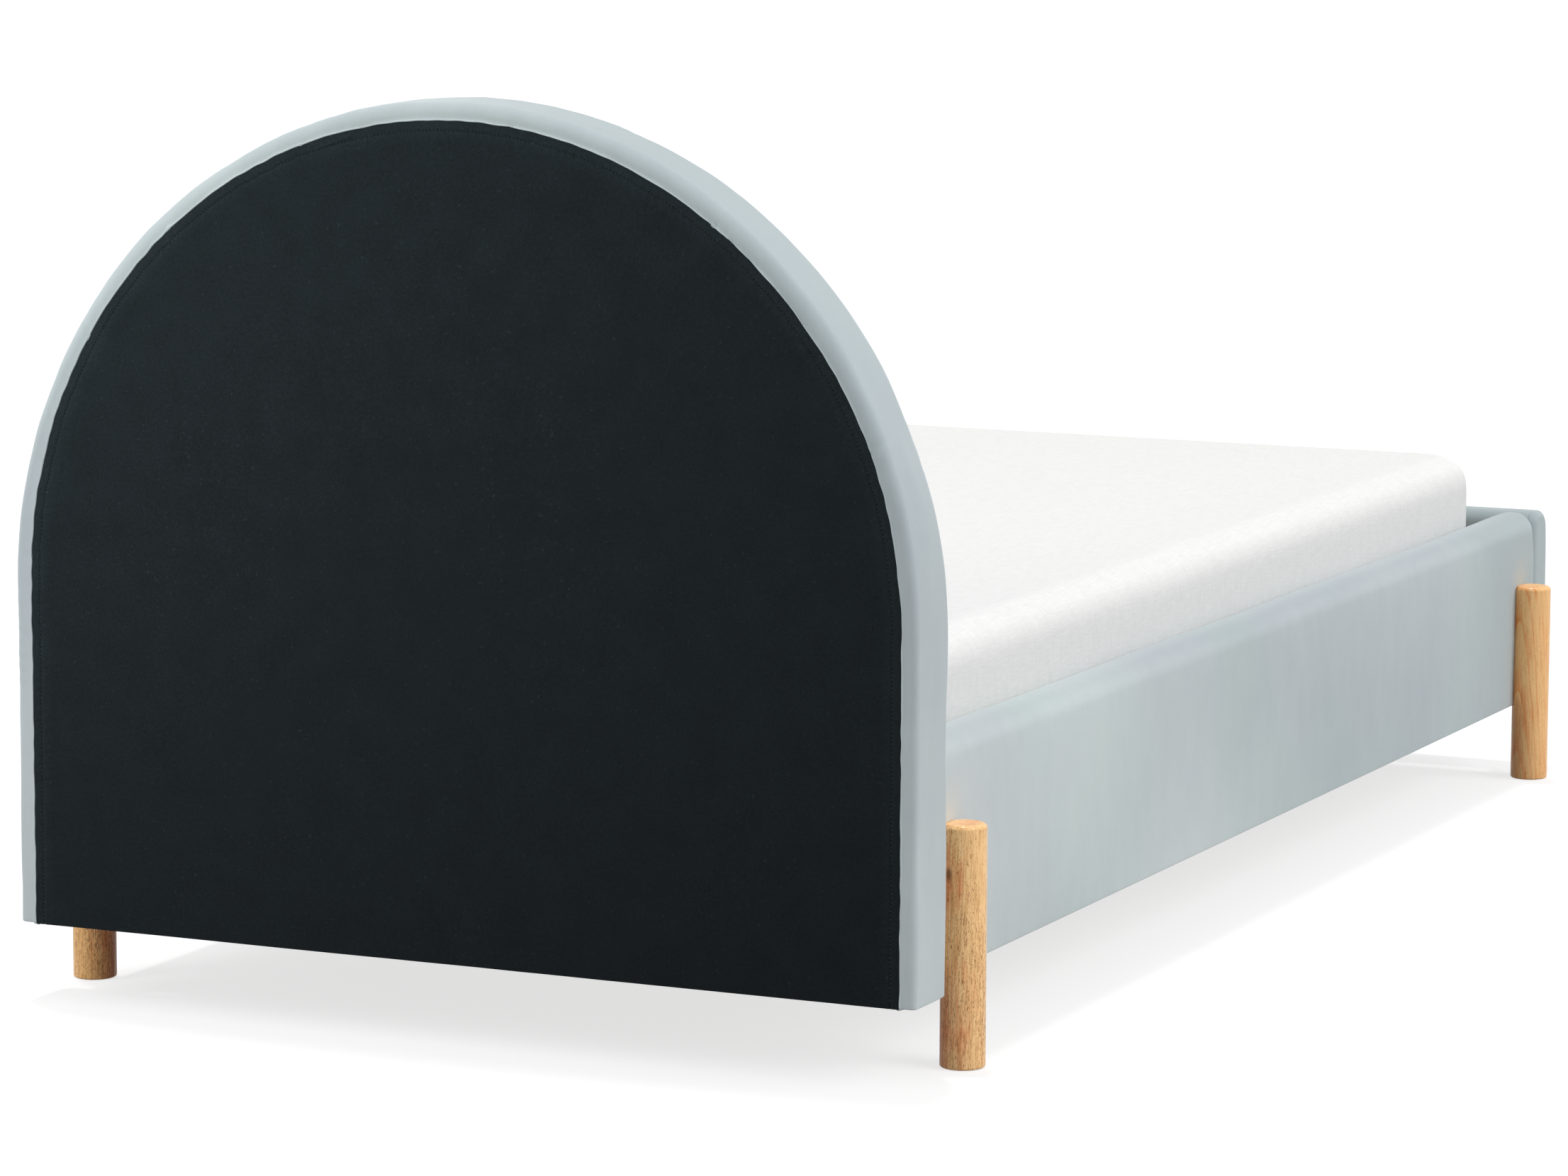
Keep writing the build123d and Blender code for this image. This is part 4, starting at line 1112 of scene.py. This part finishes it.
class KIDSBED_OT_foam(bpy.types.Operator):
    """Makes the foam under the covers"""

    bl_idname = "kids_bed.foam"
    bl_label = "Foam"

    def execute(self, context):
        sizes = context.scene.kids_bed_sizes
        foam = foam_finish(context.scene.kids_bed_colours)
        bars = {}
        for side, name in ((-1, "left"), (1, "right")):
            low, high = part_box(f"{name}_rail_board")
            bars[f"{name}_rail_foam_pad"] = bar_foam(
                sizes, side * abs(RAIL_LOW.x), side * abs(RAIL_HIGH.x), RAIL_LOW.z, RAIL_HIGH.z, high.z,
                high.x - low.x, HEAD_LOW.y - 0.004, FOOT_HIGH.y + 0.004
            )
        low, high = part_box("footboard_board")
        end = abs(FOOT_LOW.x) - sizes.footboard_end
        bars["footboard_foam_pad"] = bar_foam(
            sizes, FOOT_LOW.y, FOOT_HIGH.y, FOOT_LOW.z, FOOT_HIGH.z, high.z, high.y - low.y, -end, end
        )[..., [1, 0, 2]]
        pads = [headboard_foam(sizes)]
        for name, points in bars.items():
            middle = points.reshape(-1, 3).mean(0)
            pads.append(new_object(name, points, middle, closed=True, ends=True))
        for pad in pads:
            dress(pad, foam, "frame", "foam", pad.name.replace("_pad", ""))
        return {"FINISHED"}


class KIDSBED_OT_mattress(bpy.types.Operator):
    """Makes the mattress: its ticking, swollen by its filling, and its core"""

    bl_idname = "kids_bed.mattress"
    bl_label = "Mattress"

    def execute(self, context):
        sizes = context.scene.kids_bed_sizes
        colours = context.scene.kids_bed_colours
        centre = (BED_LOW + BED_HIGH) / 2
        voxel = 0.014
        core_inset = 0.013
        room = sizes.mattress_swell * 0.8
        shape = mattress_points(sizes, room, (30, 66, 30, 66))
        cover = new_object("mattress_ticking", shape, centre, closed=True)
        plump(cover, voxel, sizes.mattress_swell, BED_LOW.z)
        finer = cover.modifiers.new("finer", "SUBSURF")
        finer.levels = 1
        finer.render_levels = 1
        dress(cover, ticking_finish(colours), "mattress", "ticking", "mattress_cover")
        shape = mattress_points(sizes, core_inset, (15, 33, 15, 33))
        core = new_object("mattress_foam", shape, centre, closed=True)
        dress(core, bpy.data.materials["cut_polyurethane_foam"], "mattress", "foam", "mattress_core")
        return {"FINISHED"}


class KIDSBED_OT_webbing(bpy.types.Operator):
    """Makes the two bands that hold the slats apart"""

    bl_idname = "kids_bed.webbing"
    bl_label = "Webbing"

    def execute(self, context):
        sizes = context.scene.kids_bed_sizes
        webbing = webbing_finish(context.scene.kids_bed_colours)
        for node in nodes_named("_slat_webbing"):
            band = dress(webbing_band(sizes, node), webbing, "slatted_base", "webbing", node)
        return {"FINISHED"}


class KIDSBED_OT_legs(bpy.types.Operator):
    """Gives each lacquered leg its own piece of wood"""

    bl_idname = "kids_bed.legs"
    bl_label = "Legs"

    def execute(self, context):
        # Light and dark colour, trunk, tilt, ring in metres, wander, late wood, pores, side of painted shade
        # and knot
        for name, *wood in (
            ("head_left", "FFD299", "DC6422", (0.535, -0.90, 0), (0.02, 0.03, 0), 0.012, 2.2, 0.2, 0.85,
             (0.36, 0.02, 0), (-0.515, 0.973, 0.206)),
            ("foot_left", "FFCC8E", "F08A42", (0.548, 1.02, 0), (0.05, -0.04, 0), 0.0048, 1.2, 0.6, 0.25,
             (0.2, 0, 0), None),
            ("head_right", "FFCC8C", "CC6C30", (-0.50, -0.93, 0), (0.03, 0.02, 0), 0.012, 1.8, 0.22, 0.85,
             (-0.55, -0.5, 0), None),
            ("foot_right", "FFD092", "D07F40", (-0.49, 0.94, 0), (-0.03, 0.04, 0), 0.0065, 1.5, 0.5, 0.5,
             (0, 0, 0), None),
        ):
            finish_nodes([f"{name}_leg"], leg_finish(f"lacquered_rubberwood_{name}", *wood))
        return {"FINISHED"}


class KIDSBED_OT_joinery(bpy.types.Operator):
    """Gives the slats, ledges, boards and ribs their sawn wood"""

    bl_idname = "kids_bed.joinery"
    bl_label = "Slats and boards"

    def execute(self, context):
        colours = context.scene.kids_bed_colours
        along_x = [
            name for name in nodes_named("slat_", "bottom_board", "middle_board", "footboard_board")
            if "webbing" not in name and "ledge" not in name
        ]
        for names, kind, grain, layers in (
            (along_x, "planed_pine_crosswise", (0.07, 1, 1), 0.0),
            (nodes_named("_rail_board", "_slat_ledge"), "planed_pine_lengthwise", (1, 0.07, 1), 0.0),
            (nodes_named("_post", "_stile"), "planed_pine_upright", (1, 1, 0.07), 0.0),
            (nodes_named("arch_rib", "front_board"), "birch_plywood", (1, 1, 0.07), 0.0013),
        ):
            finish_nodes(names, sawn_finish(colours, kind, grain, layers))
        return {"FINISHED"}


class KIDSBED_OT_hardware(bpy.types.Operator):
    """Gives brackets, bolts, screws, inserts and glides their metal and plastic"""

    bl_idname = "kids_bed.hardware"
    bl_label = "Fittings"

    def execute(self, context):
        # Powder-coated steel: near-black satin with a fine orange peel
        powder = grained_finish("powder_coated_steel", 0.5, 900.0, 2.0, "1C1D1E", "2A2B2C", 0.4, 0.0002)
        # Moulded polyethylene: dark, slightly waxy, with a fine spark-eroded grain
        plastic = grained_finish("moulded_polyethylene", 0.55, 1400.0, 1.0, "24211F", "33302D", 0.3, 0.0001)
        finish_nodes(nodes_named("_bracket"), powder)
        finish_nodes(nodes_named("bolts", "screws", "inserts"), zinc_finish())
        finish_nodes(nodes_named("_glide"), plastic)
        return {"FINISHED"}


def sun(name, toward, strength, spread):
    """A lamp so far away that only its direction counts; toward points from the bed to it."""
    lamp = bpy.data.lights.new(name, "SUN")
    lamp.energy = strength
    lamp.angle = math.radians(spread)
    holder = bpy.data.objects.new(name, lamp)
    holder.rotation_euler = Vector(toward).to_track_quat("Z", "Y").to_euler()
    bpy.context.scene.collection.objects.link(holder)


def softbox(name, place, target, width, power):
    """A square lamp near the bed, so that its light fades across it; the camera doesn't see it."""
    lamp = bpy.data.lights.new(name, "AREA")
    lamp.size = width
    lamp.energy = power
    holder = bpy.data.objects.new(name, lamp)
    holder.location = place
    holder.rotation_euler = (Vector(place) - Vector(target)).to_track_quat("Z", "Y").to_euler()
    holder.visible_camera = False
    bpy.context.scene.collection.objects.link(holder)


def seen_by_lens(add):
    """1 for the rays of the camera, of reflections and of glass, 0 for the light that reaches the bed."""
    path = add("LightPath").outputs
    seen = add("Math", path["Is Camera Ray"], path["Is Glossy Ray"], operation="MAXIMUM")
    return add("Math", seen, path["Is Transmission Ray"], operation="MAXIMUM")


def aim(azimuth, elevation):
    """Direction from the bed at a compass angle from the camera's own, positive to its right."""
    camera_bearing = 24.69
    bearing = math.radians(camera_bearing + azimuth)
    rise = math.radians(elevation)
    return (-math.sin(bearing) * math.cos(rise), math.cos(bearing) * math.cos(rise), math.sin(rise))


class KIDSBED_OT_stage(bpy.types.Operator):
    """Sets up the camera, the soft lamps, the pale floor and the white surroundings"""

    bl_idname = "kids_bed.stage"
    bl_label = "Stage"

    def execute(self, context):
        scene = context.scene
        settings = scene.kids_bed_stage
        yaw, pitch, roll = (math.radians(a) for a in (24.6869, 8.1729, 0.2138))
        level = math.cos(pitch)
        forward = Vector((math.sin(yaw) * level, -math.cos(yaw) * level, -math.sin(pitch)))
        lens = bpy.data.cameras.new("camera")
        lens.lens = settings.lens
        lens.sensor_width = 36
        lens.clip_end = 500
        camera = bpy.data.objects.new("camera", lens)
        camera.location = (-2.874054, 6.513216, 1.367855)
        camera.rotation_mode = "QUATERNION"
        camera.rotation_quaternion = forward.to_track_quat("-Z", "Y") @ Quaternion((0, 0, 1), roll)
        scene.collection.objects.link(camera)
        scene.camera = camera
        scene.view_settings.view_transform = "Standard"
        sun("side_lamp", aim(64, 35), settings.side_light, 40)
        sun("top_lamp", aim(-160, 82), settings.top_light, 6)
        softbox("left_softbox", (1.2, 1.92, 1.12), (0.1, 1.09, 0.58), 0.7, settings.left_light)
        world = bpy.data.worlds.new("studio")
        scene.world = world
        add = emptied(world)
        strength = add("MapRange", seen_by_lens(add), 0.0, 1.0, settings.sky, 1.0)
        sky = add("Background", Color=(1, 1, 1, 1), Strength=strength)
        add("OutputWorld", sky)
        reach = 200.0
        corners = [(-reach, -reach, 0), (reach, -reach, 0), (reach, reach, 0), (-reach, reach, 0)]
        mesh = bpy.data.meshes.new("floor")
        mesh.from_pydata(corners, [], [(0, 1, 2, 3)])
        floor = bpy.data.objects.new("floor", mesh)
        scene.collection.objects.link(floor)
        # Painted studio floor: to the lens a white that keeps a pale shadow, to the bed a pale matte bounce
        material = bpy.data.materials.new("painted_studio_floor")
        add = emptied(material)
        bounced_grey = 0.42
        lit_white = 1.08
        bounce = add("BsdfDiffuse", Color=[bounced_grey] * 3 + [1])
        shadowed = add("BsdfDiffuse", Color=[lit_white - settings.floor_glow] * 3 + [1])
        glow = add("Emission", Color=(1, 1, 1, 1), Strength=settings.floor_glow)
        both = add("AddShader", shadowed, glow)
        mix = add("MixShader", seen_by_lens(add), bounce, both)
        add("OutputMaterial", mix)
        mesh.materials.append(material)
        return {"FINISHED"}


STEPS = (
    KIDSBED_OT_stage, KIDSBED_OT_headboard, KIDSBED_OT_rails, KIDSBED_OT_foam, KIDSBED_OT_mattress,
    KIDSBED_OT_webbing, KIDSBED_OT_legs, KIDSBED_OT_joinery, KIDSBED_OT_hardware,
)


class KIDSBED_PT_panel(bpy.types.Panel):
    """Lists the bed's sizes, colours and steps"""

    bl_idname = "KIDSBED_PT_panel"
    bl_label = "Kids Bed"
    bl_space_type = "VIEW_3D"
    bl_region_type = "UI"
    bl_category = "Kids Bed"

    def draw(self, context):
        for group in (
            context.scene.kids_bed_sizes, context.scene.kids_bed_colours, context.scene.kids_bed_stage
        ):
            box = self.layout.box()
            for name in group.__annotations__:
                box.prop(group, name)
        for step in STEPS:
            self.layout.operator(step.bl_idname)


CLASSES = (BedSizes, BedColours, BedStage, *STEPS, KIDSBED_PT_panel)


def register():
    for item in CLASSES:
        bpy.utils.register_class(item)
    bpy.types.Scene.kids_bed_sizes = PointerProperty(type=BedSizes)
    bpy.types.Scene.kids_bed_colours = PointerProperty(type=BedColours)
    bpy.types.Scene.kids_bed_stage = PointerProperty(type=BedStage)


def unregister():
    del bpy.types.Scene.kids_bed_stage
    del bpy.types.Scene.kids_bed_colours
    del bpy.types.Scene.kids_bed_sizes
    for item in reversed(CLASSES):
        bpy.utils.unregister_class(item)


def main():
    register()
    for step in STEPS:
        group, name = step.bl_idname.split(".")
        getattr(getattr(bpy.ops, group), name)()


if __name__ == "__main__":
    main()
